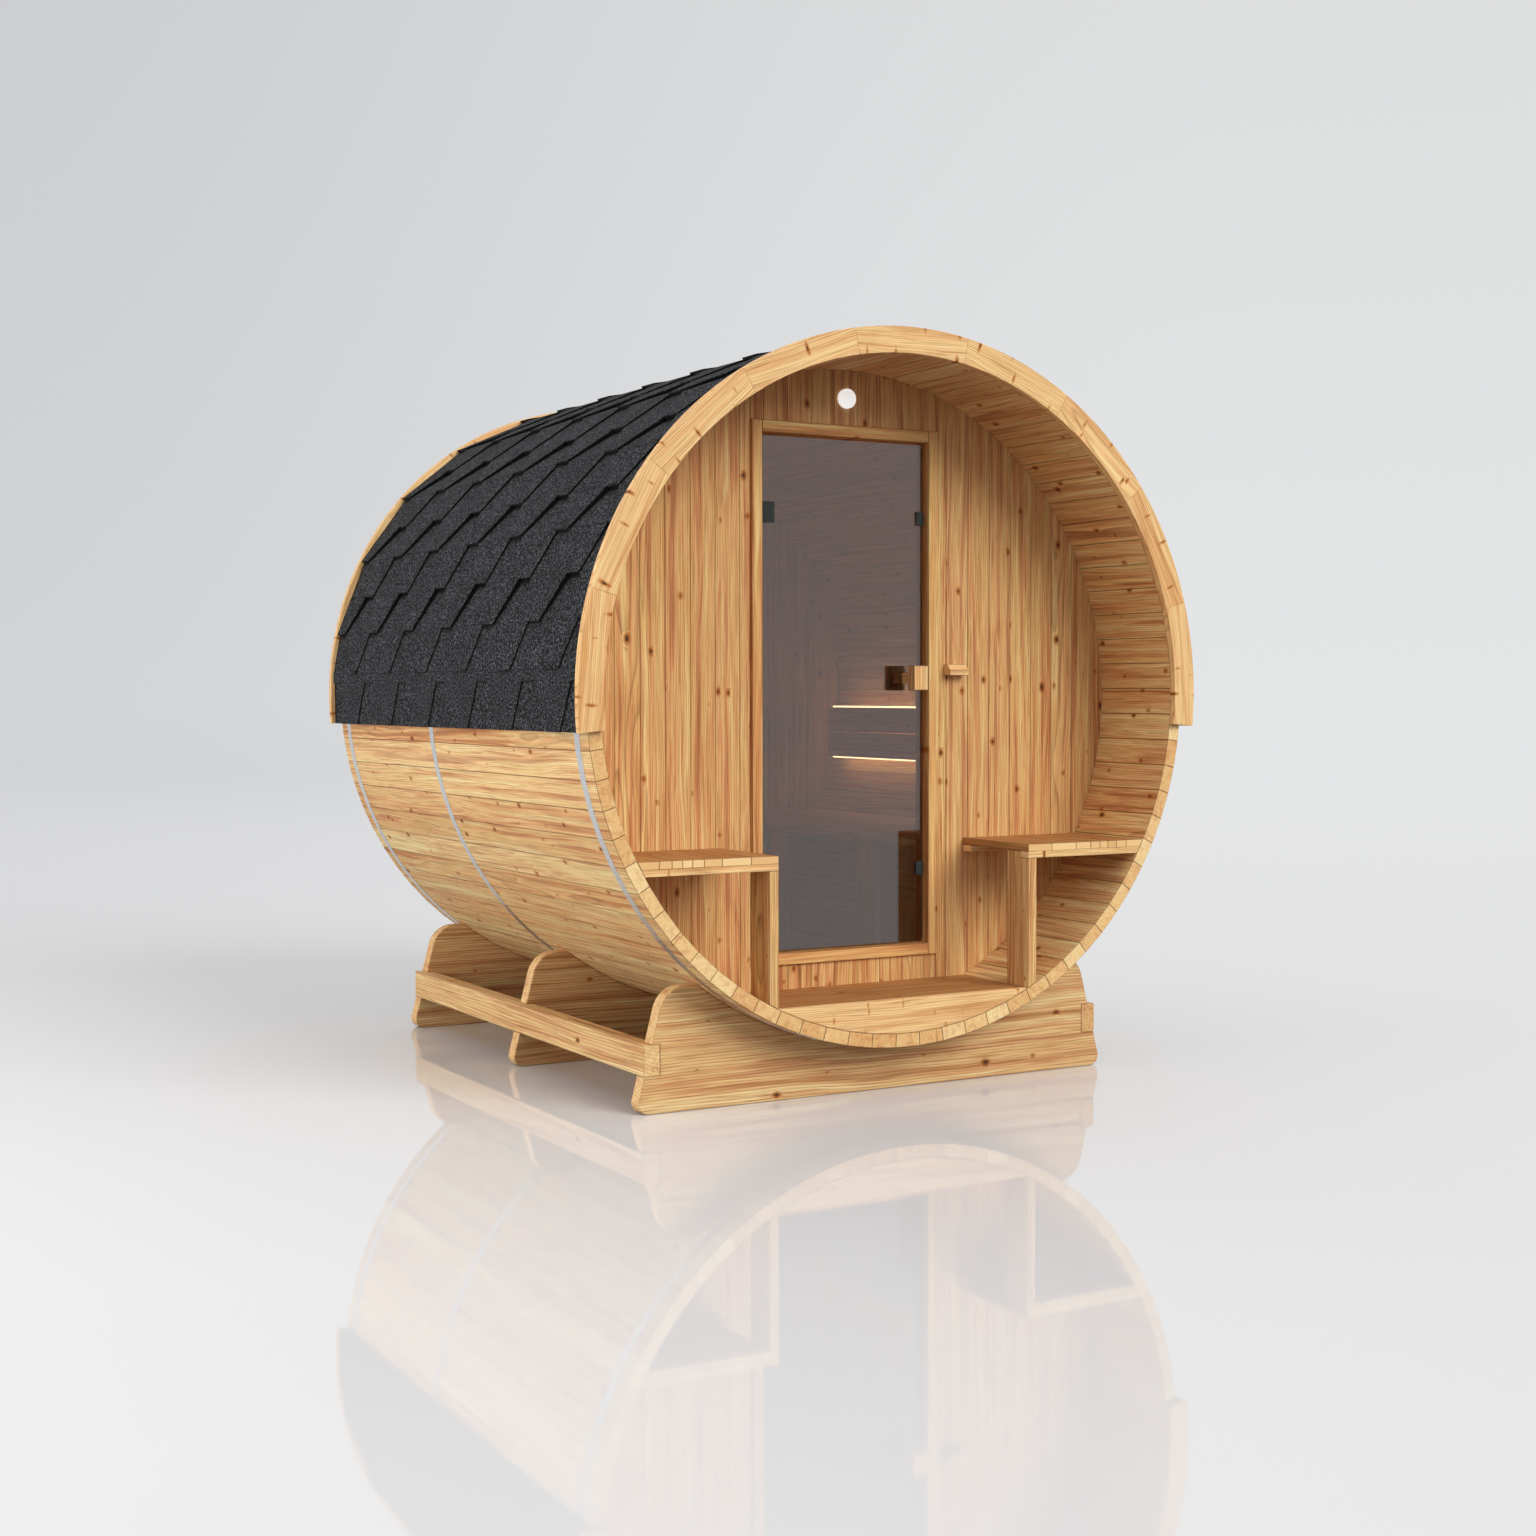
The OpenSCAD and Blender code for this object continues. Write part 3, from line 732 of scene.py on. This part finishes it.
def pitches(first: float, pitch: float, low: float, high: float) -> list[float]:
    """Gives every joint of an even row of boards between two limits.

    Args:
        first: place of one joint.
        pitch: width of a board.
        low: lower limit.
        high: upper limit.

    Returns:
        The joints in order.
    """
    start = math.ceil((low - first) / pitch)
    end = math.floor((high - first) / pitch)
    return [first + i * pitch for i in range(start, end + 1)]


class Timber:
    """Boards of one piece, gathered with the grain of each so that no two match."""

    def __init__(self, name: str) -> None:
        """Starts an empty piece; its name also seeds its grain."""
        self.name = name
        self.chance = random.Random(name)
        self.verts: list[Vector] = []
        self.faces: list[list[int]] = []
        self.grain: list[Vector] = []
        self.tone: list[float] = []
        self.end: list[float] = []
        self.edge: list[float] = []

    def add(self, solid: BMesh, along: Vector, across: Vector, eased: float) -> None:
        """Eases a board's edges and adds it with its own place in the log.

        Args:
            solid: closed mesh of the board.
            along: direction of its grain.
            across: direction across its wide face.
            eased: width of the flat planed on each sharp edge.
        """
        flats = ease_edges(solid, eased, BOARD_ANGLE)
        axes = (along, across, along.cross(across))
        middle = middle_of(solid)
        (sawn,) = self.chance.choices(list(Sawn), (1, 3))
        start = Vector((self.chance.uniform(0, 30), *self._heart(sawn)))
        first = len(self.verts)
        for vert in solid.verts:
            away = vert.co - middle
            self.verts.append(vert.co.copy())
            self.grain.append(start + Vector([away.dot(axis) for axis in axes]))
        tone = self.chance.random()
        for face in solid.faces:
            self.faces.append([first + v.index for v in face.verts])
            self.tone.append(tone)
            self.end.append(1.0 if abs(face.normal.dot(along)) > 0.7 else 0.0)
            self.edge.append(1.0 if face in flats else 0.0)
        solid.free()

    def _heart(self, sawn: Sawn) -> tuple[float, float]:
        """Places a board's middle in its log.

        Args:
            sawn: how the board was cut.

        Returns:
            Distance from the heart across the board and through it.
        """
        side = self.chance.choice((-1, 1))
        if sawn is Sawn.FLAT:
            return self.chance.uniform(-0.035, 0.035), side * self.chance.uniform(0.03, 0.1)
        return side * self.chance.uniform(0.07, 0.2), self.chance.uniform(-0.09, 0.09)

    def add_seat(self, node: str, joints: list[float], eased: float, battens: Timber) -> None:
        """Parts a slatted seat and adds its slats.

        Args:
            node: CAD node of the seat.
            joints: places across the barrel of the joints between slats.
            eased: width of the flat planed on the slats' edges.
            battens: timber that gets the battens under the slats.
        """
        for solid in copy_solids(node):
            layer = slab(solid, (Z * (SLAT_UNDER + SAW_CUT), Z), None)
            for vert in layer.verts:
                if vert.co.z < SLAT_UNDER + 2 * SAW_CUT:
                    vert.co.z = SLAT_UNDER
            for slat in rip(layer, X, joints):
                self.add(slat, Y, X, eased)
            under = slab(solid, None, (Z * (SLAT_UNDER - SAW_CUT), Z))
            battens.add(under, X, Y, BATTEN_EASED)

    def piece(self, finish: Pine, slot: str, *nodes: str, body: str = "root") -> Object:
        """Makes the object, dresses it and lets it stand for its CAD nodes.

        Args:
            finish: finish of the wood.
            slot: the record's material slot.
            nodes: CAD nodes that the piece replaces.
            body: CAD body that it rides on.

        Returns:
            The finished object.
        """
        mesh = bpy.data.meshes.new(self.name)
        mesh.from_pydata(self.verts, [], self.faces)
        grain = mesh.attributes.new("grain", "FLOAT_VECTOR", "POINT")
        grain.data.foreach_set("vector", [c for g in self.grain for c in g])
        for name, values in (("tone", self.tone), ("end", self.end), ("edge", self.edge)):
            mesh.attributes.new(name, "FLOAT", "FACE").data.foreach_set("value", values)
        return place(mesh, finish.material(), slot, *nodes, body=body)


def place(mesh: Mesh, material: Material, slot: str, *nodes: str, body: str = "root") -> Object:
    """Links a mesh into the scene as a piece that stands for CAD nodes.

    Args:
        mesh: finished mesh in the frame's axes.
        material: its material.
        slot: the record's material slot; not used.
        nodes: CAD nodes that it replaces.
        body: CAD body that it rides on.

    Returns:
        The object.
    """
    piece = bpy.data.objects.new(mesh.name, mesh)
    bpy.context.scene.collection.objects.link(piece)
    mesh.materials.append(material)
    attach(piece, body)
    if nodes:
        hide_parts(*nodes)
    log.info("%s: %d faces", piece.name, len(mesh.polygons))
    return piece


def place_boards(
    name: str, node: str, along: Vector, across: Vector, eased: float, finish: Pine, slot: str
) -> None:
    """Builds the piece for a CAD node whose every solid is one board.

    Args:
        name: name of the piece.
        node: CAD node that it replaces.
        along: direction of the grain.
        across: direction across the wide faces.
        eased: width of the flat planed on each sharp edge.
        finish: finish of the wood.
        slot: the record's material slot.
    """
    timber = Timber(name)
    for solid in copy_solids(node):
        timber.add(solid, along, across, eased)
    timber.piece(finish, slot, node)


def dress_node(node: str, material: Material) -> None:
    """Gives a CAD node that stays in view its material.

    Args:
        node: name of the CAD node.
        material: the material for all of it.
    """
    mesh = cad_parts[node].data
    mesh.materials.clear()
    mesh.materials.append(material)
    log.info("%s: kept from the frame", node)


def softened(name: str, node: str, width: float, segments: int = 2) -> Mesh:
    """Copies a CAD node with its sharp edges rounded.

    Args:
        name: name of the new mesh.
        node: CAD node that is copied.
        width: width of the rounding.
        segments: steps in the rounding.

    Returns:
        The new mesh, shaded smooth across shallow edges.
    """
    mesh = bpy.data.meshes.new(name)
    verts: list[Vector] = []
    faces: list[list[int]] = []
    for solid in copy_solids(node):
        ease_edges(solid, width, CAST_ANGLE, segments)
        first = len(verts)
        verts += [v.co.copy() for v in solid.verts]
        faces += [[first + v.index for v in f.verts] for f in solid.faces]
        solid.free()
    mesh.from_pydata(verts, [], faces)
    mesh.shade_smooth()
    mesh.set_sharp_from_angle(angle=math.radians(SMOOTH_ANGLE))
    return mesh


# Sub-assemblies


@dataclass
class Barrel:
    """Ring of staves with crozes for the end walls, held by three steel bands."""

    staves: int = 77
    parts: tuple[str, ...] = (
        "upper_left",
        "left",
        "lower_left",
        "bottom",
        "lower_right",
        "right",
        "upper_right",
    )
    eased: float = 1.5 * MM
    strip_steel: Metal = Metal("brushed_steel_strip", "#e4e5e6", 1.0, 0.28, (3, 3, 900), 0.08)

    def build(self) -> None:
        """Parts each seventh of the ring into its staves and dresses the bands."""
        axis = Z * AXIS_HEIGHT
        each = self.staves // len(self.parts)
        for index, part in enumerate(self.parts):
            timber = Timber(f"staves_{part}")
            (solid,) = copy_solids(f"shell_{part}")
            for k in range(index * each, (index + 1) * each):
                stave = slab(solid, (axis, self.round_at(k)), (axis, self.round_at(k + 1)))
                timber.add(stave, Y, self.round_at(k + 0.5), self.eased)
            solid.free()
            timber.piece(STAVE_PINE, "pine_staves", f"shell_{part}")
        dress_node("steel_bands", self.strip_steel.material())

    def round_at(self, k: float) -> Vector:
        """Gives the direction round the ring, so many staves to the left of the top."""
        angle = math.pi / 2 + k * math.tau / self.staves
        return Vector((-math.sin(angle), 0, math.cos(angle)))


@dataclass
class EndWalls:
    """Upright tongued boards with V joints, front and rear."""

    board: float = 0.08
    eased: float = 1.8 * MM
    front: tuple[str, ...] = ("left", "right", "over_door", "under_door")

    def build(self) -> None:
        """Parts the wall panels into boards."""
        joints = pitches(self.board / 2, self.board, -1, 1)
        panels = [(f"front_boards_{part}", f"front_wall_{part}") for part in self.front]
        for name, node in (*panels, ("rear_boards", "rear_wall")):
            timber = Timber(name)
            for solid in copy_solids(node):
                for board in rip(solid, X, joints):
                    timber.add(board, Z, X, self.eased)
            timber.piece(WALL_PINE, "pine_boards", node)


@dataclass
class Floors:
    """Boards across the barrel, with one wide board closing the front."""

    board: float = 0.094
    eased: float = 1.5 * MM

    def build(self) -> None:
        """Parts the porch and cabin floors into boards, and builds the board in front."""
        for name, node in (("porch_deck", "porch_floor"), ("cabin_deck", "cabin_floor")):
            low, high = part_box(node)
            count = round((high.y - low.y) / self.board)
            pitch = (high.y - low.y) / count
            timber = Timber(name)
            for solid in copy_solids(node):
                for board in rip(solid, Y, pitches(low.y, pitch, low.y, high.y)):
                    timber.add(board, X, Y, self.eased)
            timber.piece(SLAT_PINE, "pine_boards", node)
        place_boards(
            "porch_riser", "porch_floor_riser", X, Z, self.eased, FASCIA_PINE, "pine_boards"
        )


@dataclass
class DoorFrame:
    """Two full-height jambs with a head and a sill between them."""

    eased: float = 1.5 * MM

    def build(self) -> None:
        """Builds the four members."""
        for name, node, along, across in (
            ("jamb_left", "door_jamb_left", Z, X),
            ("jamb_right", "door_jamb_right", Z, X),
            ("frame_head", "door_head", X, Z),
            ("frame_sill", "door_sill", X, Z),
        ):
            place_boards(name, node, along, across, self.eased, FRAME_PINE, "pine_frame")


@dataclass
class GlassDoor:
    """Frameless glass leaf with cast hinges, catches and a wooden handle on each face."""

    glass: CoatedGlass = CoatedGlass()
    casting: Metal = Metal("painted_zinc_casting", "#2a2f2d", 0.0, 0.66, (160, 160, 160), 0.05)
    casting_eased: float = 0.7 * MM
    stem: float = 47 * MM
    stem_eased: float = 1 * MM
    grip_least: float = 0.05
    grip_eased: float = 2.5 * MM

    def build(self) -> None:
        """Builds what turns with the door body, and the hinge leaves on the jamb."""
        dress_node("door_glass", self.glass.material())
        metal = self.casting.material()
        for name, node, body in (
            ("hinge_plates", "hinge_clamps", "door"),
            ("catch_plates", "door_catches", "door"),
            ("hinge_leaves", "hinge_brackets", "root"),
        ):
            mesh = softened(name, node, self.casting_eased)
            place(mesh, metal, "dark_metal", node, body=body)
        timber = Timber("door_grips")
        glass_low, glass_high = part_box("door_glass")
        for solid in copy_solids("door_handles"):
            outside = min(v.co.y for v in solid.verts) < glass_low.y
            joint = glass_low.y - self.stem if outside else glass_high.y + self.stem
            for block in rip(solid, Y, [joint]):
                heights = [v.co.z for v in block.verts]
                if max(heights) - min(heights) > self.grip_least:
                    timber.add(block, Z, X, self.grip_eased)
                else:
                    timber.add(block, Y, X, self.stem_eased)
            solid.free()
        timber.piece(FITTING_PINE, "pine_fittings", "door_handles", body="door")


@dataclass
class PorchSeats:
    """Narrow slats from the wall to the open end, on battens and a post."""

    joints: tuple[float, ...] = (0.51, 0.6, 0.655, 0.69, 0.72, 0.752, 0.79)
    eased: float = 1.2 * MM

    def build(self) -> None:
        """Builds both seats, their battens and their posts."""
        under = Timber("seat_battens")
        for side, sign in (("left", -1), ("right", 1)):
            timber = Timber(f"seat_slats_{side}")
            joints = [sign * j for j in self.joints]
            timber.add_seat(f"porch_seat_{side}", joints, self.eased, under)
            timber.piece(SLAT_PINE, "pine_seats", f"porch_seat_{side}")
        under.piece(FASCIA_PINE, "pine_seats")
        place_boards("seat_posts", "porch_posts", Z, Y, self.eased, SEAT_PINE, "pine_seats")


@dataclass
class Benches:
    """Long slatted benches on framed legs, with lit backrests above them."""

    slat: float = 0.09
    edge: float = 0.24
    slat_eased: float = 1.5 * MM
    eased: float = 1.2 * MM
    lip: float = 10 * MM
    bar_eased: float = 1.5 * MM
    bar_edge: float = 2 * MM
    strip: Plastic = Plastic("warm_white_light_strip", "#ffe3b8", 0.5, "#ffd8a4", 8.0)

    def build(self) -> None:
        """Builds the benches, legs and backrests and lights the strips."""
        for side, sign in (("left", -1), ("right", 1)):
            bench = Timber(f"bench_slats_{side}")
            joints = pitches(sign * self.edge, self.slat, -1, 1)
            bench.add_seat(f"bench_{side}", joints, self.slat_eased, bench)
            bench.piece(SEAT_PINE, "pine_seats", f"bench_{side}")
            back = f"backrest_{side}"
            place_boards(f"back_boards_{side}", back, Y, Z, self.eased, SEAT_PINE, "pine_seats")
        place_boards("bench_uprights", "bench_legs", Z, Y, self.eased, SEAT_PINE, "pine_seats")
        self.build_strips()

    def build_strips(self) -> None:
        """Builds the strips, whose lips show past the edges of the backrests."""
        low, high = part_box("light_strips")
        bars = softened("light_bars", "light_strips", self.bar_eased)
        for vert in bars.vertices:
            if vert.co.z > high.z - self.bar_edge:
                vert.co.z += self.lip
            elif vert.co.z < low.z + self.bar_edge:
                vert.co.z -= self.lip
        place(bars, self.strip.material(), "light_strips", "light_strips")


@dataclass
class Roof:
    """Rows of hexagonal shingle tabs from eave to eave."""

    shingle: BitumenShingle = BitumenShingle()

    def build(self) -> None:
        """Dresses both halves."""
        material = self.shingle.material()
        for node in ("roof_left", "roof_right"):
            dress_node(node, material)


@dataclass
class Fascias:
    """Arches of short boards over the stave ends."""

    eased: float = 0.4 * MM

    def build(self) -> None:
        """Builds both arches, each board with its grain along the arch."""
        for end in ("front", "rear"):
            timber = Timber(f"{end}_arch")
            for solid in copy_solids(f"{end}_fascia"):
                middle = middle_of(solid)
                out = Vector((middle.x, 0, middle.z - AXIS_HEIGHT)).normalized()
                timber.add(solid, Vector((-out.z, 0, out.x)), out, self.eased)
            timber.piece(FASCIA_PINE, "pine_fascia", f"{end}_fascia")


@dataclass
class Cradle:
    """Three wide boards, hollowed for the barrel and let over two rails."""

    eased: float = 2.2 * MM

    def build(self) -> None:
        """Builds the boards and the rails."""
        for name, node, along in (
            ("cradle_front", "cradle_front_board", X),
            ("cradle_middle", "cradle_middle_board", X),
            ("cradle_rear", "cradle_rear_board", X),
            ("cradle_runners", "cradle_rails", Y),
        ):
            place_boards(name, node, along, Z, self.eased, CRADLE_PINE, "pine_cradle")


@dataclass
class Fittings:
    """Porch lamp over the door and a bevelled peg beside it."""

    # The lamp's white glow is painted light that brightens it in the porch's shade
    opal_with_painted_glow: Plastic = Plastic("opal_acrylic_lamp_painted_glow", "#f4f4f4", 0.25, "#ffffff", 0.62)
    lamp_eased: float = 1.2 * MM
    peg_eased: float = 1.5 * MM

    def build(self) -> None:
        """Builds the lamp and the peg."""
        lamp = softened("lamp", "porch_lamp", self.lamp_eased)
        place(lamp, self.opal_with_painted_glow.material(), "lamp_plastic", "porch_lamp")
        place_boards("peg", "wall_peg", X, Z, self.peg_eased, FITTING_PINE, "pine_fittings")


# Studio


class Reach(Enum):
    """How far off a lamp stands, by Blender's name for it: a far one lights all alike."""

    FAR = "SUN"
    NEAR = "AREA"


@dataclass(frozen=True)
class Lamp:
    """Soft lamp that looks at the middle of the barrel.

    Its size is an angle in degrees when it is far, and else a width in metres.
    """

    name: str
    reach: Reach
    spot: tuple[float, float, float]
    size: float
    power: float

    def build(self) -> None:
        """Hangs the lamp."""
        light = bpy.data.lights.new(self.name, self.reach.value)
        light.energy = self.power
        if self.reach is Reach.FAR:
            light.angle = math.radians(self.size)
        else:
            light.shape = "DISK"
            light.size = self.size
        holder = bpy.data.objects.new(self.name, light)
        holder.location = self.spot
        holder.rotation_euler = (Z - Vector(self.spot)).to_track_quat("-Z", "Y").to_euler()
        # Gloss and glass mirror the even backdrop, not the disc of a lamp
        holder.visible_glossy = False
        bpy.context.scene.collection.objects.link(holder)


@dataclass
class Studio:
    """Pale seamless studio: glossy floor that fades into the backdrop, lamps and camera."""

    camera_at: tuple[float, float, float] = (-3.2937, -5.9701, 1.1548)
    yaw: float = 29.71
    pitch: float = 2.093
    roll: float = -0.085
    focal_length: float = 49.2
    sensor_width: float = 36.0
    floor_radius: float = 90.0
    floor_sides: int = 96
    floor_fade: tuple[float, float] = (8.0, 26.0)
    floor_roughness: float = 0.03
    floor_seen: str = "#dfdfe0"
    floor_bounce: str = "#6c6c6d"
    dim_side: str = "#d2d3d5"
    bright_side: str = "#e4e5e6"
    side_axis: tuple[float, float, float] = (0.869, -0.495, 0.0)
    side_range: tuple[float, float] = (-0.4, 0.22)
    high_shade: float = 0.93
    high_from: float = 0.32
    sky_light: float = 0.75
    lamps: tuple[Lamp, ...] = (
        Lamp("window_wall", Reach.FAR, (2.9, -8.0, 5.95), 35.0, 2.07),
        Lamp("side_box", Reach.NEAR, (-6.5, -0.5, 0.9), 3.0, 247.0),
    )

    def build(self) -> None:
        """Builds the floor, the world, the lamps and the camera."""
        self.build_floor()
        self.build_world()
        for lamp in self.lamps:
            lamp.build()
        self.build_camera()
        bpy.context.scene.view_settings.view_transform = "Standard"

    def build_floor(self) -> None:
        """Lays a round floor whose shade drifts to the backdrop's with distance."""
        mesh = bpy.data.meshes.new("studio_floor")
        sides = range(self.floor_sides)
        rim = [
            (self.floor_radius * math.cos(a), self.floor_radius * math.sin(a), 0.0)
            for a in (math.tau * i / self.floor_sides for i in sides)
        ]
        mesh.from_pydata(rim, [], [list(sides)])
        floor = bpy.data.objects.new("studio_floor", mesh)
        bpy.context.scene.collection.objects.link(floor)
        material, add = new_material("polished_studio_floor")
        spot = add("TexCoord")["Object"]
        away = add("VectorMath", {0: spot}, operation="LENGTH")["Value"]
        direction = add("VectorMath", {0: spot}, operation="NORMALIZE")[0]
        near, far = self.floor_fade
        fade = add(
            "MapRange",
            {"Value": away, "From Min": near, "From Max": far},
            interpolation_type="SMOOTHSTEP",
        )
        # The floor keeps its shadows, but throws back less light than its pale look would
        bounce, shown = linear(self.floor_bounce), linear(self.floor_seen)
        looks = {SHARE: self.seen(add), UNDER: bounce, OVER: shown}
        colour = add("Mix", looks, data_type="RGBA")[MIXED]
        polish = {"Base Color": colour, "Roughness": self.floor_roughness, "IOR": 1.45}
        shader = add("BsdfPrincipled", polish)
        # Past the soft edge the floor shows as the backdrop, with no line at the horizon
        glow = add("Emission", {0: self.backdrop(add, direction), 1: self.seen(add)})
        blend = add("MixShader", {0: fade[0], 1: shader[0], 2: glow[0]})
        add("OutputMaterial", {0: blend[0]})
        mesh.materials.append(material)

    def build_world(self) -> None:
        """Lights evenly, and shows the pale backdrop to the camera, to gloss and in glass."""
        world = bpy.data.worlds.new("studio")
        bpy.context.scene.world = world
        world.use_nodes = True
        world.node_tree.nodes.clear()
        add = partial(add_node, world.node_tree)
        direction = add("TexCoord")["Generated"]
        light = add("Background", {0: linear("#ffffff"), 1: self.sky_light})
        show = add("Background", {0: self.backdrop(add, direction), 1: 1.0})
        both = add("MixShader", {0: self.seen(add), 1: light[0], 2: show[0]})
        add("OutputWorld", {0: both[0]})

    def backdrop(self, add: Adder, direction: NodeSocket) -> NodeSocket:
        """Gives the backdrop's colour, a little darker to one side and overhead.

        Args:
            add: adds a node to what shows the backdrop.
            direction: direction in which it is seen.

        Returns:
            Socket with the colour.
        """
        side = add("VectorMath", {0: direction, 1: self.side_axis}, operation="DOT_PRODUCT")
        dim, bright = self.side_range
        across = add(
            "MapRange",
            {"Value": side["Value"], "From Min": dim, "From Max": bright},
            interpolation_type="SMOOTHSTEP",
        )[0]
        height = add("SeparateXYZ", {0: direction})["Z"]
        dimming = add(
            "MapRange",
            {"Value": height, "From Max": self.high_from, "To Min": 1.0, "To Max": self.high_shade},
        )[0]
        dim, bright = linear(self.dim_side), linear(self.bright_side)
        sides = {SHARE: across, UNDER: dim, OVER: bright}
        sideways = add("Mix", sides, data_type="RGBA")[MIXED]
        return add("VectorMath", {0: sideways, "Scale": dimming}, operation="SCALE")[0]

    def seen(self, add: Adder) -> NodeSocket:
        """Tells the rays that show the studio from those that only carry its light.

        Args:
            add: adds a node to what the rays meet.

        Returns:
            Socket that is 1 for the camera, for gloss and through glass, and else 0.
        """
        rays = add("LightPath")
        shows = rays["Is Camera Ray"]
        for kind in ("Is Glossy Ray", "Is Transmission Ray"):
            shows = add("Math", {0: shows, 1: rays[kind]}, operation="MAXIMUM")[0]
        return shows

    def build_camera(self) -> None:
        """Sets the camera where the vanishing lines put it."""
        yaw, pitch, roll = (math.radians(a) for a in (self.yaw, self.pitch, self.roll))
        forward = Vector(
            (math.sin(yaw) * math.cos(pitch), math.cos(yaw) * math.cos(pitch), -math.sin(pitch))
        )
        level = Vector((math.cos(yaw), -math.sin(yaw), 0))
        upright = level.cross(forward)
        right = level * math.cos(roll) + upright * math.sin(roll)
        up = upright * math.cos(roll) - level * math.sin(roll)
        lens = bpy.data.cameras.new("camera")
        lens.lens = self.focal_length
        lens.sensor_width = self.sensor_width
        camera = bpy.data.objects.new("camera", lens)
        turn = Matrix((right, up, -forward)).transposed().to_4x4()
        camera.matrix_world = Matrix.Translation(Vector(self.camera_at)) @ turn
        bpy.context.scene.collection.objects.link(camera)
        bpy.context.scene.camera = camera


def main() -> None:
    """Builds every sub-assembly and the studio."""
    logging.basicConfig(level=logging.INFO, format="%(name)s: %(message)s")
    for assembly in (
        Barrel(),
        EndWalls(),
        Floors(),
        DoorFrame(),
        GlassDoor(),
        PorchSeats(),
        Benches(),
        Roof(),
        Fascias(),
        Cradle(),
        Fittings(),
        Studio(),
    ):
        assembly.build()
        log.info("%s is in place", type(assembly).__name__)


if __name__ == "__main__":
    main()
